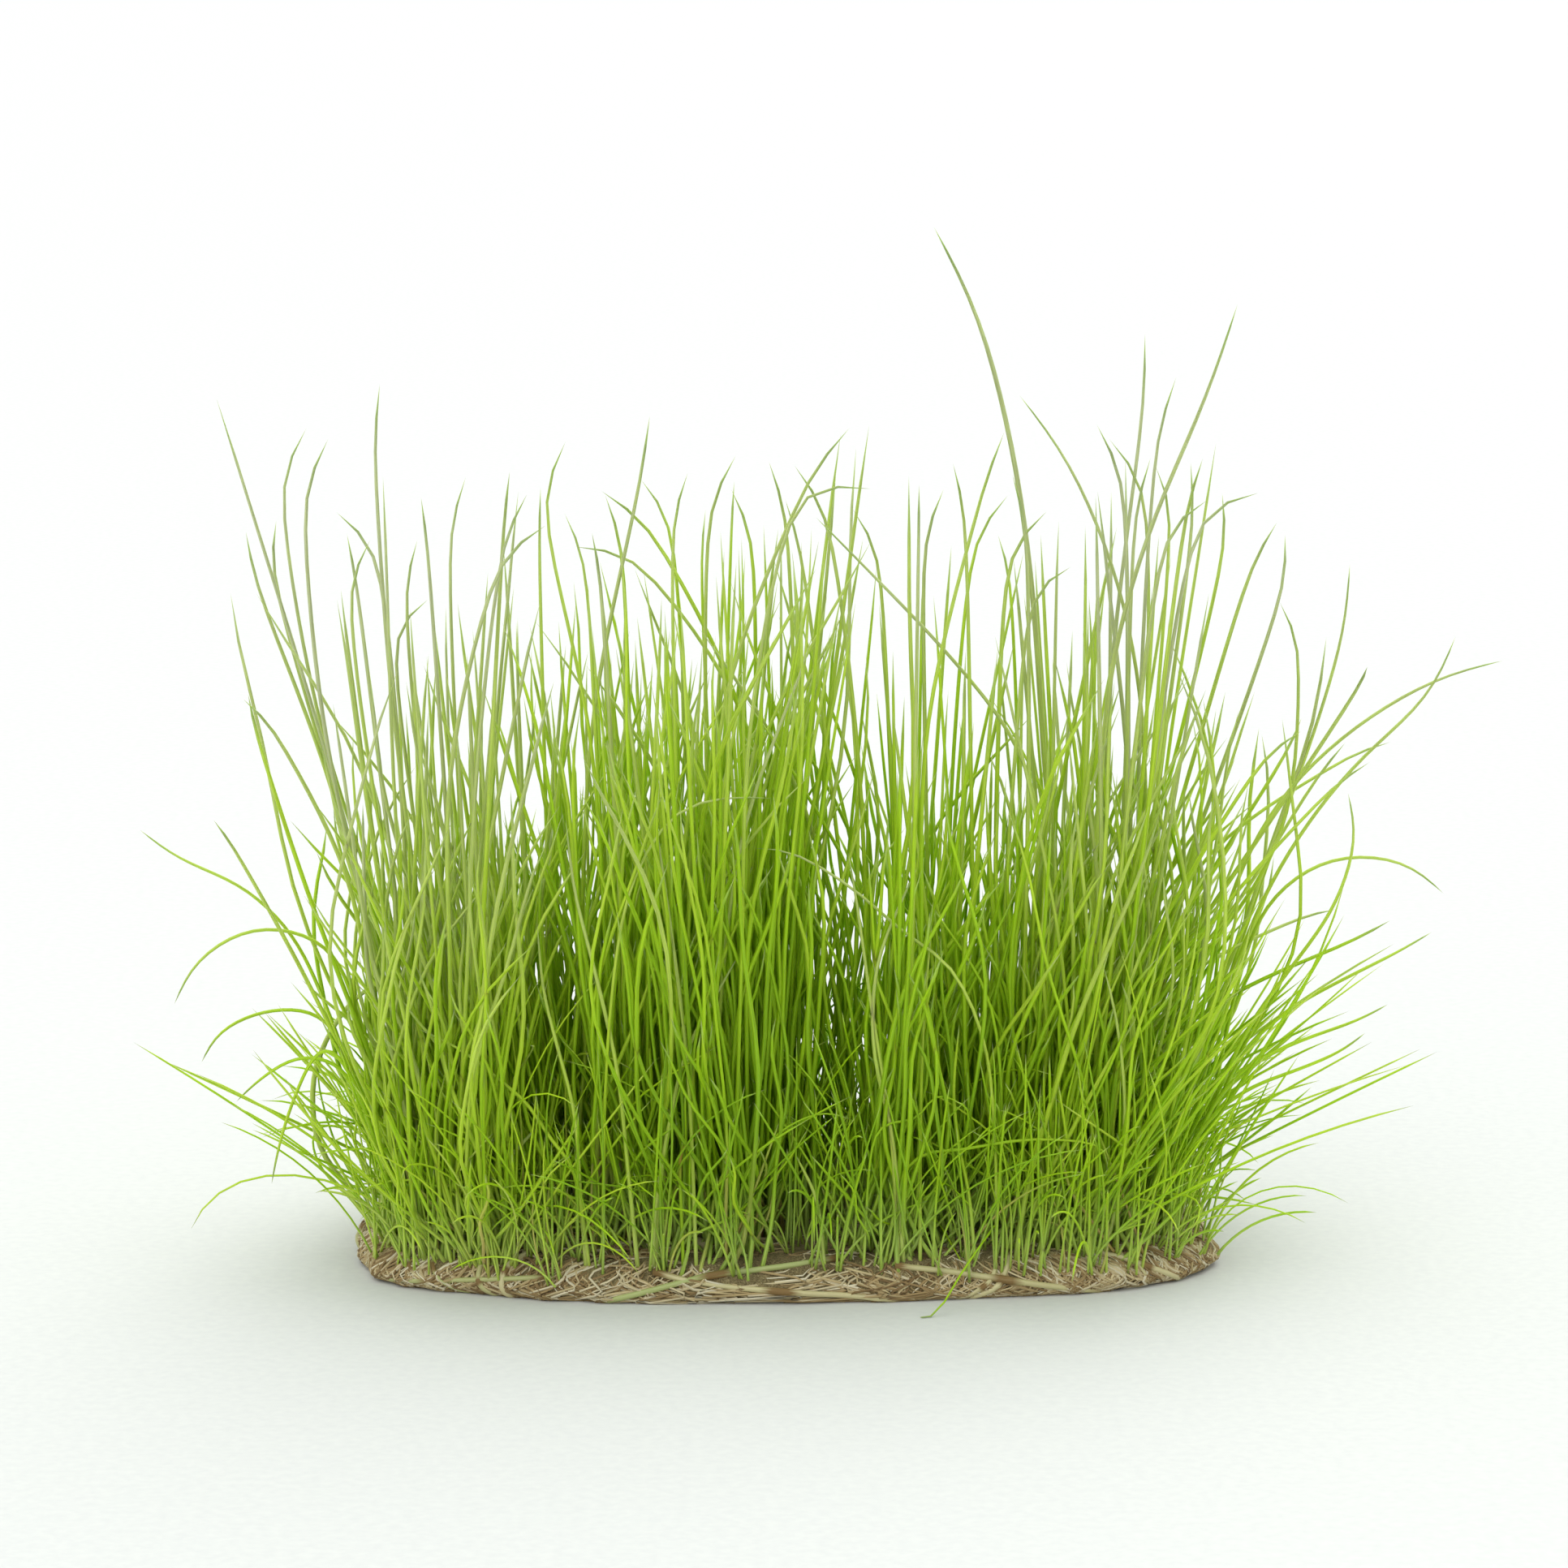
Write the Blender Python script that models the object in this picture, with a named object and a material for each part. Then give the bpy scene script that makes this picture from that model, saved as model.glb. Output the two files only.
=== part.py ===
"""Dwarf hairgrass: a wide tuft of thread-thin round stems on the mat of runners that they grow from.

Sizes are in millimetres, and MM turns them into metres. +Z is up, +X is to the right, and +Y goes
away from the side that the tuft is seen from. The origin is the middle of the flat, trimmed underside.
"""

import math
import random

import bmesh
import bpy
import numpy as np

MM = 0.001
GAP = 0.3
WELD = 0.00001
SHARP_ANGLE = math.radians(50.0)
GROWTH_SEED = 7

# The mat of runners and roots
MAT_HALF_WIDTH = 42.5
MAT_HALF_DEPTH = 23.5
MAT_HEIGHT = 4.0
MAT_SQUARENESS = 3.2
MAT_POINTS = 32
MAT_LOBES = ((3, 0.018, 0.4), (5, 0.016, 2.1), (8, 0.014, 1.2))
MAT_RINGS = ((1.8, 0.0), (0.0, 1.3), (0.4, 2.9), (2.2, MAT_HEIGHT))
MAT_RIM_WAVES = 7
MAT_RIM_WAVE_HEIGHT = 0.35

# The shoots stand in clumps: how many, the middle of the clump, and its half width and half depth
CLUMPS = (
    (11, (-29.5, -2.0), (9.0, 16.5)),
    (14, (-7.5, -0.5), (11.5, 18.5)),
    (5, (13.5, -2.0), (4.3, 17.0)),
    (12, (27.5, 1.0), (9.0, 16.5)),
)
GOLDEN_ANGLE = math.radians(137.508)

# A crown, the short knot that the stems of one shoot grow from
CROWN_RADIUS = 1.35
CROWN_FOOT_RADIUS = 1.15
CROWN_RIM_HEIGHT = 0.8
CROWN_TOP_HEIGHT = 1.3
FEWEST_STEMS = 6
MOST_STEMS = 8

# A stem of a shoot stands for the sheaf of threads that rise together there.
# Its thickness from the crown to the tip, as (share of the length, radius)
STEM_TAPER = ((0.0, 0.56), (0.3, 0.53), (0.6, 0.46), (0.9, 0.31), (1.0, 0.20))
LONE_STEM_TAPER = ((0.0, 0.55), (0.3, 0.42), (0.9, 0.30), (1.0, 0.20))
LAST_RING = 0.9
STEM_ROOT_RADIUS = 0.72
STEM_CLEARANCE = 0.12
STEM_ROOT_REACH = 0.6 * CROWN_RADIUS
FIRST_RING_RISE = 4.2
FIRST_RING_SPREAD = 1.75
SHORT_STEM = 42.0
COURSE_SHARES = (0.36, 0.68, 1.0)
CURVE_STEPS = 12

# How high an ordinary stem reaches at each place across the tuft, as (x, height)
REACH = (
    (-39.0, 52.0), (-33.0, 57.0), (-26.0, 50.0), (-19.0, 55.0), (-9.0, 58.0), (-4.0, 66.0),
    (1.0, 66.0), (5.0, 50.0), (10.0, 47.0), (15.0, 54.0), (20.0, 47.0), (26.0, 54.0), (33.0, 67.0),
    (39.0, 58.0),
)
REACH_VARIATION = 7.5
LOW_STEM_SHARE = 0.14
LOW_STEM_SHARE_AT_ENDS = 0.22
LOW_STEM_REACH = (22.0, 42.0)
LOW_STEM_LEAN = 3.2
LEAN_ACROSS = 0.17
LEAN_DEEP = 0.16
LEAN_VARIATION = 0.055
BOW_VARIATION = 0.055
SPREAD_IN_SHOOT = 0.05

# Low side stems lie out from the side of a crown like a short runner, and then rise. The most are at the
# mat's edge. How far out and how high one ends, and where its knee is, as a share of that.
SIDE_STEMS_AT_EDGE = 4
SIDE_STEMS_INSIDE = 2
EDGE_FROM = 0.55
SIDE_STEM_OUT = (6.0, 13.0)
SIDE_STEM_OUT_LEFT = (6.0, 15.0)
SIDE_STEM_OUT_RIGHT = (9.0, 22.0)
END_FACING = 0.5
SIDE_STEM_RISE = (8.0, 21.0)
SIDE_STEM_KNEE = 0.5
SIDE_STEM_KNEE_RISE = (2.2, 0.14)
SIDE_STEM_TURN = 0.35
SIDE_STEM_RADII = (0.5, 0.44, 0.2)

# The long stems are placed as they are seen from the front, by an eye a little above them
EYE_DISTANCE = 600.0
EYE_ELEVATION = math.radians(10.0)
EYE_AIM_HEIGHT = 46.7

# Long stems that belong to a shoot: where the foot is across the tuft, then (x, height) up to the tip
LONG_STEMS = (
    (-41.5, ((-50.4, 34.2), (-55.8, 43.1))),
    (-40.5, ((-48.8, 42.3), (-52.2, 55.7))),
    (-39.0, ((-44.0, 42.3), (-52.7, 55.2))),
    (-39.5, ((-46.4, 54.5), (-51.0, 66.0), (-52.2, 71.8))),
    (-42.0, ((-48.6, 63.4), (-49.2, 72.9))),
    (-41.0, ((-46.0, 56.1), (-48.6, 73.8), (-46.1, 82.0))),
    (-40.0, ((-46.6, 64.0), (-44.0, 80.9))),
    (-33.0, ((-38.4, 63.4), (-43.3, 73.7))),
    (-38.0, ((-41.2, 64.7), (-42.3, 71.6))),
    (-38.0, ((-39.1, 66.0), (-38.9, 86.3))),
    (-41.0, ((-41.8, 58.0), (-40.0, 71.0))),
    (-33.0, ((-34.0, 64.0), (-35.0, 75.2))),
    (-37.0, ((-36.4, 60.2), (-35.4, 71.0))),
    (-39.0, ((-37.6, 57.0), (-34.4, 65.1))),
    (-34.0, ((-32.3, 64.3), (-30.6, 77.2))),
    (-29.0, ((-27.4, 65.0), (-26.3, 77.7))),
    (-32.0, ((-28.8, 60.2), (-24.6, 75.5))),
    (-14.0, ((-19.0, 56.0), (-22.8, 72.0), (-20.8, 80.7))),
    (-37.5, ((-31.6, 58.0), (-22.8, 72.4))),
    (-20.5, ((-23.4, 66.0), (-23.3, 76.2))),
    (-16.0, ((-18.6, 63.5), (-21.0, 73.6))),
    (-14.5, ((-17.2, 62.6), (-18.3, 71.7))),
    (-20.5, ((-18.0, 56.1), (-13.8, 75.6), (-12.6, 83.2))),
    (2.5, ((-4.4, 59.7), (-10.6, 69.4), (-17.4, 75.8))),
    (-12.5, ((-15.2, 66.7), (-17.0, 75.4))),
    (-8.0, ((-10.0, 67.0), (-13.5, 76.9))),
    (2.0, ((-4.2, 59.2), (-11.2, 67.0), (-20.0, 70.3))),
    (-8.5, ((-10.4, 68.5), (-8.9, 77.6))),
    (-6.5, ((-7.4, 65.5), (-4.2, 79.3))),
    (-7.0, ((-4.8, 68.0), (-4.4, 76.8))),
    (0.0, ((-2.4, 66.0), (-4.7, 76.0))),
    (-7.0, ((-7.5, 64.0), (-7.2, 74.0))),
    (3.5, ((1.3, 65.0), (-1.0, 78.7))),
    (10.0, ((6.6, 63.8), (1.5, 78.3))),
    (6.0, ((3.2, 62.6), (0.6, 75.0))),
    (-9.5, ((-4.8, 62.0), (-0.7, 71.0), (6.9, 82.0))),
    (-6.0, ((-1.8, 67.0), (3.4, 74.6), (9.0, 76.0))),
    (14.0, ((10.0, 66.0), (7.2, 74.0))),
    (12.0, ((13.6, 62.0), (13.7, 76.4))),
    (14.0, ((14.2, 67.0), (16.1, 76.0))),
    (20.0, ((18.4, 68.3), (17.0, 78.5))),
    (12.0, ((14.8, 56.6), (18.2, 70.0), (22.0, 81.6))),
    (24.0, ((24.6, 63.4), (22.8, 77.4))),
    (14.5, ((18.0, 63.5), (22.4, 75.4))),
    (26.0, ((22.8, 64.3), (21.4, 71.5))),
    (18.0, ((22.0, 64.0), (26.2, 73.8))),
    (20.0, ((24.2, 61.0), (28.6, 68.3))),
    (36.0, ((34.4, 67.5), (31.0, 82.3))),
    (38.0, ((36.4, 68.3), (32.2, 80.9))),
    (30.0, ((33.2, 67.0), (35.3, 82.0), (35.6, 91.2))),
    (34.0, ((35.9, 70.0), (38.7, 87.0))),
    (31.5, ((34.6, 68.0), (36.3, 79.1))),
    (38.5, ((38.2, 71.6), (36.8, 78.2))),
    (39.0, ((40.0, 68.0), (40.2, 78.6))),
    (35.5, ((39.3, 69.5), (41.4, 79.0))),
    (33.0, ((37.1, 67.0), (41.9, 74.9))),
    (35.0, ((39.6, 67.2), (46.9, 75.6))),
    (40.0, ((42.4, 64.0), (43.3, 75.6))),
    (39.0, ((44.5, 62.6), (48.7, 72.7))),
    (41.0, ((47.6, 60.0), (49.5, 71.5))),
    (40.5, ((48.8, 40.0), (51.6, 55.0), (49.1, 64.8))),
    (40.0, ((52.8, 49.6), (57.8, 58.4))),
    (39.0, ((48.0, 46.5), (51.4, 53.3))),
    (38.0, ((41.8, 38.6), (50.5, 46.5), (60.2, 50.9))),
    (39.5, ((44.6, 35.2), (51.5, 43.5), (58.2, 48.9))),
    (40.0, ((47.2, 37.0), (50.9, 44.2), (55.8, 50.9))),
    (38.0, ((42.6, 24.0), (51.2, 28.0), (60.5, 33.0))),
    (36.0, ((40.0, 27.0), (45.8, 31.3), (55.1, 34.1))),
    (38.5, ((43.2, 42.9), (46.4, 47.6), (51.4, 52.0))),
)

# Stems that reach out alone: the name, the foot (x, y), then (x, height) up to the tip
LONE_STEMS = (
    ("tallest_stem", (31.5, 3.5), ((26.6, 44.0), (24.4, 70.0), (20.4, 90.0), (15.0, 101.6))),
    ("left_reaching_stem", (-38.6, 2.0), ((-45.6, 26.0), (-50.8, 34.9), (-57.5, 38.0), (-63.1, 42.1))),
    ("left_drooping_stem_1", (-38.0, -8.5), ((-42.6, 26.5), (-47.8, 31.6), (-55.6, 31.4), (-60.0, 24.5))),
    ("left_drooping_stem_2", (-38.8, -3.0), ((-43.6, 21.0), (-48.6, 23.9), (-54.6, 22.6), (-57.4, 18.6))),
    ("left_drooping_stem_3", (-36.5, -13.0), ((-42.6, 16.5), (-46.3, 19.4), (-50.9, 17.4), (-54.0, 14.6))),
    ("left_drooping_stem_4", (-36.0, -15.8), ((-43.4, 19.4), (-46.6, 18.4), (-49.4, 11.6), (-50.6, 6.2))),
    ("leaning_middle_stem", (30.0, -5.0), ((25.0, 46.0), (18.6, 57.2), (10.3, 66.3), (3.6, 73.2))),
    ("arched_right_stem", (36.5, 5.5), ((35.6, 55.0), (31.4, 71.3), (27.4, 80.2), (23.4, 85.2))),
    ("tall_right_stem", (29.5, -9.5), ((32.4, 56.0), (35.9, 70.9), (40.6, 82.0), (44.6, 94.1))),
    ("right_stem_1", (38.4, 7.5), ((48.0, 38.0), (53.0, 53.0), (55.4, 62.0), (55.9, 68.6))),
    ("right_stem_2", (38.8, -1.0), ((46.5, 32.0), (55.0, 46.6), (63.2, 54.6), (66.4, 61.4))),
    ("right_stem_3", (38.0, 4.0), ((44.8, 36.0), (52.0, 48.0), (62.0, 56.0), (71.1, 59.0))),
    ("right_arching_stem_1", (39.2, 1.8), ((47.0, 32.0), (54.4, 39.2), (60.8, 39.3), (65.7, 35.7))),
    ("right_arching_stem_2", (38.0, -7.0), ((46.5, 22.0), (53.2, 31.5), (56.8, 39.0), (56.1, 45.8))),
    ("right_arching_stem_3", (39.4, -3.8), ((46.0, 19.5), (52.8, 25.3), (59.2, 28.6), (64.6, 31.8))),
    ("right_arching_stem_4", (37.2, -10.0), ((44.0, 15.5), (50.4, 20.2), (56.0, 22.2), (60.4, 24.5))),
    ("right_arching_stem_5", (35.4, -12.5), ((43.0, 13.0), (49.0, 17.0), (54.0, 18.6), (58.2, 21.6))),
)
LONE_STEM_SIDES = 4
LONE_STEM_PARTS = 7
LONE_STEM_FOOT_RADIUS = 0.75
LONG_STEM_PARTS = 5
ORDINARY_STEM_PARTS = 4
LOW_STEM_PARTS = 3
MOST_LONG_STEMS_A_SHOOT = 3
LONG_STEM_SECTORS = 3
LONG_STEM_DRIFT = 0.32
LONE_STEM_DRIFT = 0.16
DEPTH_STEP = 0.6
DEPTH_TRIES = 60
STEM_TRIES = 400
NEARLY_PARALLEL = 1e-9
FOOT_TRIES = 300
FOOT_STEP = 0.25
FOOT_SPACING = 3.0

STEM_ROUGHNESS = 0.45
MAT_ROUGHNESS = 0.8
STEM_COLOURS = ("#6FA32B", "#7DB038", "#8AB548", "#639824")
LONE_STEM_COLOUR = "#9BBB5E"
MAT_COLOUR = "#A99B72"


def remove_everything():
    """Empty the scene before the plant is made."""
    for thing in list(bpy.data.objects):
        bpy.data.objects.remove(thing)


def linear_colour(hex_code):
    """The linear RGBA colour of an sRGB hex code."""
    channels = [int(hex_code[place:place + 2], 16) / 255.0 for place in (1, 3, 5)]
    linear = [c / 12.92 if c <= 0.04045 else ((c + 0.055) / 1.055) ** 2.4 for c in channels]
    return (*linear, 1.0)


def plain_material(name, hex_code, roughness):
    """A Principled material of one colour."""
    material = bpy.data.materials.new(name)
    material.use_nodes = True
    shader = material.node_tree.nodes["Principled BSDF"]
    shader.inputs["Base Color"].default_value = linear_colour(hex_code)
    shader.inputs["Roughness"].default_value = roughness
    shader.inputs["Metallic"].default_value = 0.0
    return material


def finish_object(name, mesh_in_making, place, hex_code, roughness):
    """Turn a bmesh, in millimetres about its own foot, into a named object of its own material."""
    bmesh.ops.scale(mesh_in_making, vec=(MM, MM, MM), verts=mesh_in_making.verts)
    bmesh.ops.recalc_face_normals(mesh_in_making, faces=mesh_in_making.faces)
    mesh = bpy.data.meshes.new(name)
    mesh_in_making.to_mesh(mesh)
    mesh_in_making.free()
    mesh.shade_smooth()
    mesh.set_sharp_from_angle(angle=SHARP_ANGLE)
    mesh.materials.append(plain_material(name + "_finish", hex_code, roughness))
    piece = bpy.data.objects.new(name, mesh)
    piece.location = [coordinate * MM for coordinate in place]
    bpy.context.scene.collection.objects.link(piece)


def make_mat():
    """The mat: a flat lens with a lobed edge, cut flat beneath and level on top where the crowns stand."""
    mat = bmesh.new()
    rings = []
    for inset, height in MAT_RINGS:
        ring = []
        for number in range(MAT_POINTS):
            angle = math.tau * number / MAT_POINTS
            lobes = 1.0 + sum(size * math.cos(count * angle + shift) for count, size, shift in MAT_LOBES)
            power = 2.0 / MAT_SQUARENESS
            across = math.copysign(abs(math.cos(angle)) ** power, math.cos(angle))
            deep = math.copysign(abs(math.sin(angle)) ** power, math.sin(angle))
            wave = 0.0
            if 0.0 < height < MAT_HEIGHT:
                wave = MAT_RIM_WAVE_HEIGHT * math.sin(MAT_RIM_WAVES * angle + height)
            ring.append(mat.verts.new((
                (MAT_HALF_WIDTH * lobes - inset) * across,
                (MAT_HALF_DEPTH * lobes - inset) * deep,
                height + wave,
            )))
        rings.append(ring)
    for lower, upper in zip(rings, rings[1:]):
        for number in range(MAT_POINTS):
            following = (number + 1) % MAT_POINTS
            mat.faces.new((lower[number], lower[following], upper[following], upper[number]))
    mat.faces.new(reversed(rings[0]))
    mat.faces.new(rings[-1])
    finish_object("runner_mat", mat, (0.0, 0.0, 0.0), MAT_COLOUR, MAT_ROUGHNESS)


def crown_places():
    """The (x, y) of each shoot's crown, spread evenly over its clump as seeds are over a flower head."""
    places = []
    for count, (middle_x, middle_y), (half_width, half_depth) in CLUMPS:
        for number in range(count):
            reach = math.sqrt((number + 0.5) / count)
            angle = number * GOLDEN_ANGLE + middle_x
            places.append((
                middle_x + half_width * reach * math.cos(angle),
                middle_y + half_depth * reach * math.sin(angle),
            ))
    return places


def at_depth(seen_x, seen_height, depth):
    """The place at this depth that the eye sees at (seen_x, seen_height) of the tuft's middle plane."""
    eye_y = -EYE_DISTANCE * math.cos(EYE_ELEVATION)
    eye_z = EYE_AIM_HEIGHT + EYE_DISTANCE * math.sin(EYE_ELEVATION)
    reach = 1.0 - depth / eye_y
    return np.array((seen_x * reach, depth, eye_z + (seen_height - eye_z) * reach))


def smooth_line(points, parts):
    """Points on a smooth curve through the given ones, alike in spacing but for a short last length."""
    points = np.array(points)
    padded = np.vstack((2 * points[0] - points[1], points, 2 * points[-1] - points[-2]))
    fine = []
    for before, start, end, after in zip(padded, padded[1:], padded[2:], padded[3:]):
        for share in np.linspace(0.0, 1.0, CURVE_STEPS, endpoint=False):
            fine.append(0.5 * (
                2 * start
                + (end - before) * share
                + (2 * before - 5 * start + 4 * end - after) * share ** 2
                + (3 * start - before - 3 * end + after) * share ** 3
            ))
    fine = np.array(fine + [points[-1]])
    steps = np.linalg.norm(np.diff(fine, axis=0), axis=1)
    along = np.concatenate(([0.0], np.cumsum(steps)))
    wanted = along[-1] * np.append(np.linspace(0.0, LAST_RING, parts), 1.0)
    return np.stack([np.interp(wanted, along, fine[:, axis]) for axis in range(3)], axis=1)


def radii_along(line, taper, first_radius):
    """The stem's radius at each point of its line."""
    steps = np.linalg.norm(np.diff(line, axis=0), axis=1)
    along = np.concatenate(([0.0], np.cumsum(steps)))
    radii = np.interp(along / along[-1], *zip(*taper))
    radii[0] = first_radius
    return radii


def seen_course(seen_points, foot_depth, drift):
    """The points of a stem that is seen to pass these places and drifts this far back from foot to tip."""
    count = len(seen_points)
    return [at_depth(x, height, foot_depth + drift * order / count)
            for order, (x, height) in enumerate(seen_points, 1)]


def drifts_to_try(usual):
    """Ways that a stem may drift in depth, those nearest the usual one first."""
    for attempt in range(DEPTH_TRIES):
        side = -1.0 if attempt % 2 else 1.0
        yield usual + side * DEPTH_STEP * (attempt // 2)


class Growth:
    """All that has grown so far, as straight lengths with a radius at each end."""

    def __init__(self):
        self.starts = np.empty((0, 3))
        self.ends = np.empty((0, 3))
        self.start_radii = np.empty(0)
        self.end_radii = np.empty(0)
        self.shoots = np.empty(0, int)
        self.at_root = np.empty(0, bool)

    def add(self, shoot, line, radii, rooted):
        """Keep a line of points as part of this shoot. `rooted` says that its first length is a root."""
        count = len(line) - 1
        self.starts = np.vstack((self.starts, line[:-1]))
        self.ends = np.vstack((self.ends, line[1:]))
        self.start_radii = np.concatenate((self.start_radii, radii[:-1]))
        self.end_radii = np.concatenate((self.end_radii, radii[1:]))
        self.shoots = np.concatenate((self.shoots, np.full(count, shoot)))
        self.at_root = np.concatenate((self.at_root, np.arange(count) < rooted))

    def room_for(self, shoot, line, radii):
        """The least space between this line and all that has grown, roots of the same shoot aside."""
        start = line[:-1, None]
        along = line[1:, None] - start
        other_along = (self.ends - self.starts)[None]
        between = start - self.starts[None]
        squared = (along * along).sum(-1)
        crossed = (along * other_along).sum(-1)
        other_squared = (other_along * other_along).sum(-1)
        ahead = (along * between).sum(-1)
        other_ahead = (other_along * between).sum(-1)
        spread = np.maximum(squared * other_squared - crossed ** 2, NEARLY_PARALLEL)
        share = np.clip((crossed * other_ahead - other_squared * ahead) / spread, 0.0, 1.0)
        other_share = np.clip((crossed * share + other_ahead) / other_squared, 0.0, 1.0)
        share = np.clip((crossed * other_share - ahead) / squared, 0.0, 1.0)
        apart = between + share[..., None] * along - other_share[..., None] * other_along
        radius = radii[:-1, None] + share * np.diff(radii)[:, None]
        other_radius = self.start_radii + other_share * (self.end_radii - self.start_radii)
        room = np.linalg.norm(apart, axis=-1) - radius - other_radius
        both_at_root = (np.arange(len(line) - 1) == 0)[:, None] & self.at_root[None]
        room[both_at_root & (self.shoots == shoot)[None]] = np.inf
        return room.min()


class Shoot:
    """One crown on the mat and the stems that grow from it."""

    def __init__(self, number, place, stem_count):
        self.number = number
        self.x, self.y = place
        self.stem_count = stem_count
        self.turn = number * GOLDEN_ANGLE
        self.stems = {}
        self.side_stems = {}

    def sector_direction(self, sector):
        """The level direction from the crown's middle out through this sector."""
        angle = self.turn + math.tau * (sector + 0.5) / self.stem_count
        return np.array((math.cos(angle), math.sin(angle), 0.0))

    def start_of(self, sector):
        """The first two points of a stem: in its sector of the crown, and clear of its neighbours."""
        foot = np.array((self.x, self.y, MAT_HEIGHT + GAP))
        outwards = self.sector_direction(sector)
        root = foot + outwards * STEM_ROOT_REACH + (0.0, 0.0, CROWN_RIM_HEIGHT)
        ring = foot + outwards * FIRST_RING_SPREAD + (0.0, 0.0, CROWN_RIM_HEIGHT + FIRST_RING_RISE)
        return root, ring

    def sectors_towards(self, direction):
        """All sectors, the one that faces this direction first."""
        sectors = range(self.stem_count)
        return sorted(sectors, key=lambda sector: -float(np.dot(self.sector_direction(sector), direction)))

    def free_sectors_towards(self, direction):
        """The sectors that hold no stem yet, the one that faces this direction first."""
        return [sector for sector in self.sectors_towards(direction) if sector not in self.stems]

    def try_stem(self, growth, sector, upper_points, parts):
        """Grow a stem through these points if nothing is in its way."""
        root, ring = self.start_of(sector)
        upper = smooth_line([ring, *upper_points], parts - 1)
        line = np.vstack((root, upper))
        radii = radii_along(line, STEM_TAPER, STEM_ROOT_RADIUS)
        if line[:, 2].min() < MAT_HEIGHT or growth.room_for(self.number, line, radii) < STEM_CLEARANCE:
            return False
        self.stems[sector] = line
        growth.add(self.number, line, radii, 1)
        return True

    def try_side_stem(self, growth, sector, line):
        """Grow a low stem from the side of the crown if nothing is in its way."""
        radii = np.array(SIDE_STEM_RADII)
        if growth.room_for(self.number, line, radii) < STEM_CLEARANCE:
            return False
        self.side_stems[sector] = line
        growth.add(self.number, line, radii, 1)
        return True


def grow_long_stem(shoot, growth, seen_points):
    """A long stem keeps its seen course, and only its depth is changed until it stands clear."""
    lean = np.array((seen_points[-1][0] - shoot.x, shoot.y, 0.0))
    for drift in drifts_to_try(LONG_STEM_DRIFT * shoot.y):
        course = seen_course(seen_points, shoot.y, drift)
        for sector in shoot.free_sectors_towards(lean)[:LONG_STEM_SECTORS]:
            if shoot.try_stem(growth, sector, course, LONG_STEM_PARTS):
                return True
    return False


def grow_ordinary_stem(shoot, growth, sector, chance):
    """An ordinary stem leans out with its clump, bows a little, and is tried again until it stands clear."""
    for _ in range(STEM_TRIES):
        outermost = abs(shoot.x) / MAT_HALF_WIDTH
        low = chance.random() < LOW_STEM_SHARE + LOW_STEM_SHARE_AT_ENDS * outermost
        usual = float(np.interp(shoot.x, *zip(*REACH)))
        height = chance.uniform(*LOW_STEM_REACH) if low else chance.gauss(usual, REACH_VARIATION)
        height = max(height, LOW_STEM_REACH[0])
        outwards = shoot.sector_direction(sector) * SPREAD_IN_SHOOT
        more = LOW_STEM_LEAN if low else 1.0
        lean = np.array((
            more * LEAN_ACROSS * shoot.x / MAT_HALF_WIDTH + chance.gauss(0.0, LEAN_VARIATION),
            more * LEAN_DEEP * shoot.y / MAT_HALF_DEPTH + chance.gauss(0.0, LEAN_VARIATION),
            0.0,
        )) + outwards
        bow = np.array((chance.gauss(0.0, BOW_VARIATION), chance.gauss(0.0, BOW_VARIATION), 0.0))
        foot = np.array((shoot.x, shoot.y, MAT_HEIGHT + GAP))
        course = []
        for share in COURSE_SHARES:
            aside = (lean * share + bow * share ** 2) * height
            course.append(foot + aside + (0.0, 0.0, height * share))
        parts = LOW_STEM_PARTS if height < SHORT_STEM else ORDINARY_STEM_PARTS
        if shoot.try_stem(growth, sector, course, parts):
            return True
    return False


def way_to_edge(shoot):
    """The level direction from a shoot to the mat's nearest edge, and how near that is, 1 at the edge."""
    across = shoot.x / MAT_HALF_WIDTH
    deep = shoot.y / MAT_HALF_DEPTH
    nearness = (abs(across) ** MAT_SQUARENESS + abs(deep) ** MAT_SQUARENESS) ** (1.0 / MAT_SQUARENESS)
    way = np.array((
        math.copysign(abs(across) ** (MAT_SQUARENESS - 1.0) / MAT_HALF_WIDTH, across),
        math.copysign(abs(deep) ** (MAT_SQUARENESS - 1.0) / MAT_HALF_DEPTH, deep),
        0.0,
    ))
    return way / np.linalg.norm(way), nearness


def side_stem_span(shoot, outwards):
    """How far out a side stem may end. It is further where it leans out of an end of the mat."""
    leans_out = outwards[0] * math.copysign(1.0, shoot.x) > END_FACING
    if leans_out and abs(shoot.x) > EDGE_FROM * MAT_HALF_WIDTH:
        return SIDE_STEM_OUT_RIGHT if shoot.x > 0.0 else SIDE_STEM_OUT_LEFT
    return SIDE_STEM_OUT


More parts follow.
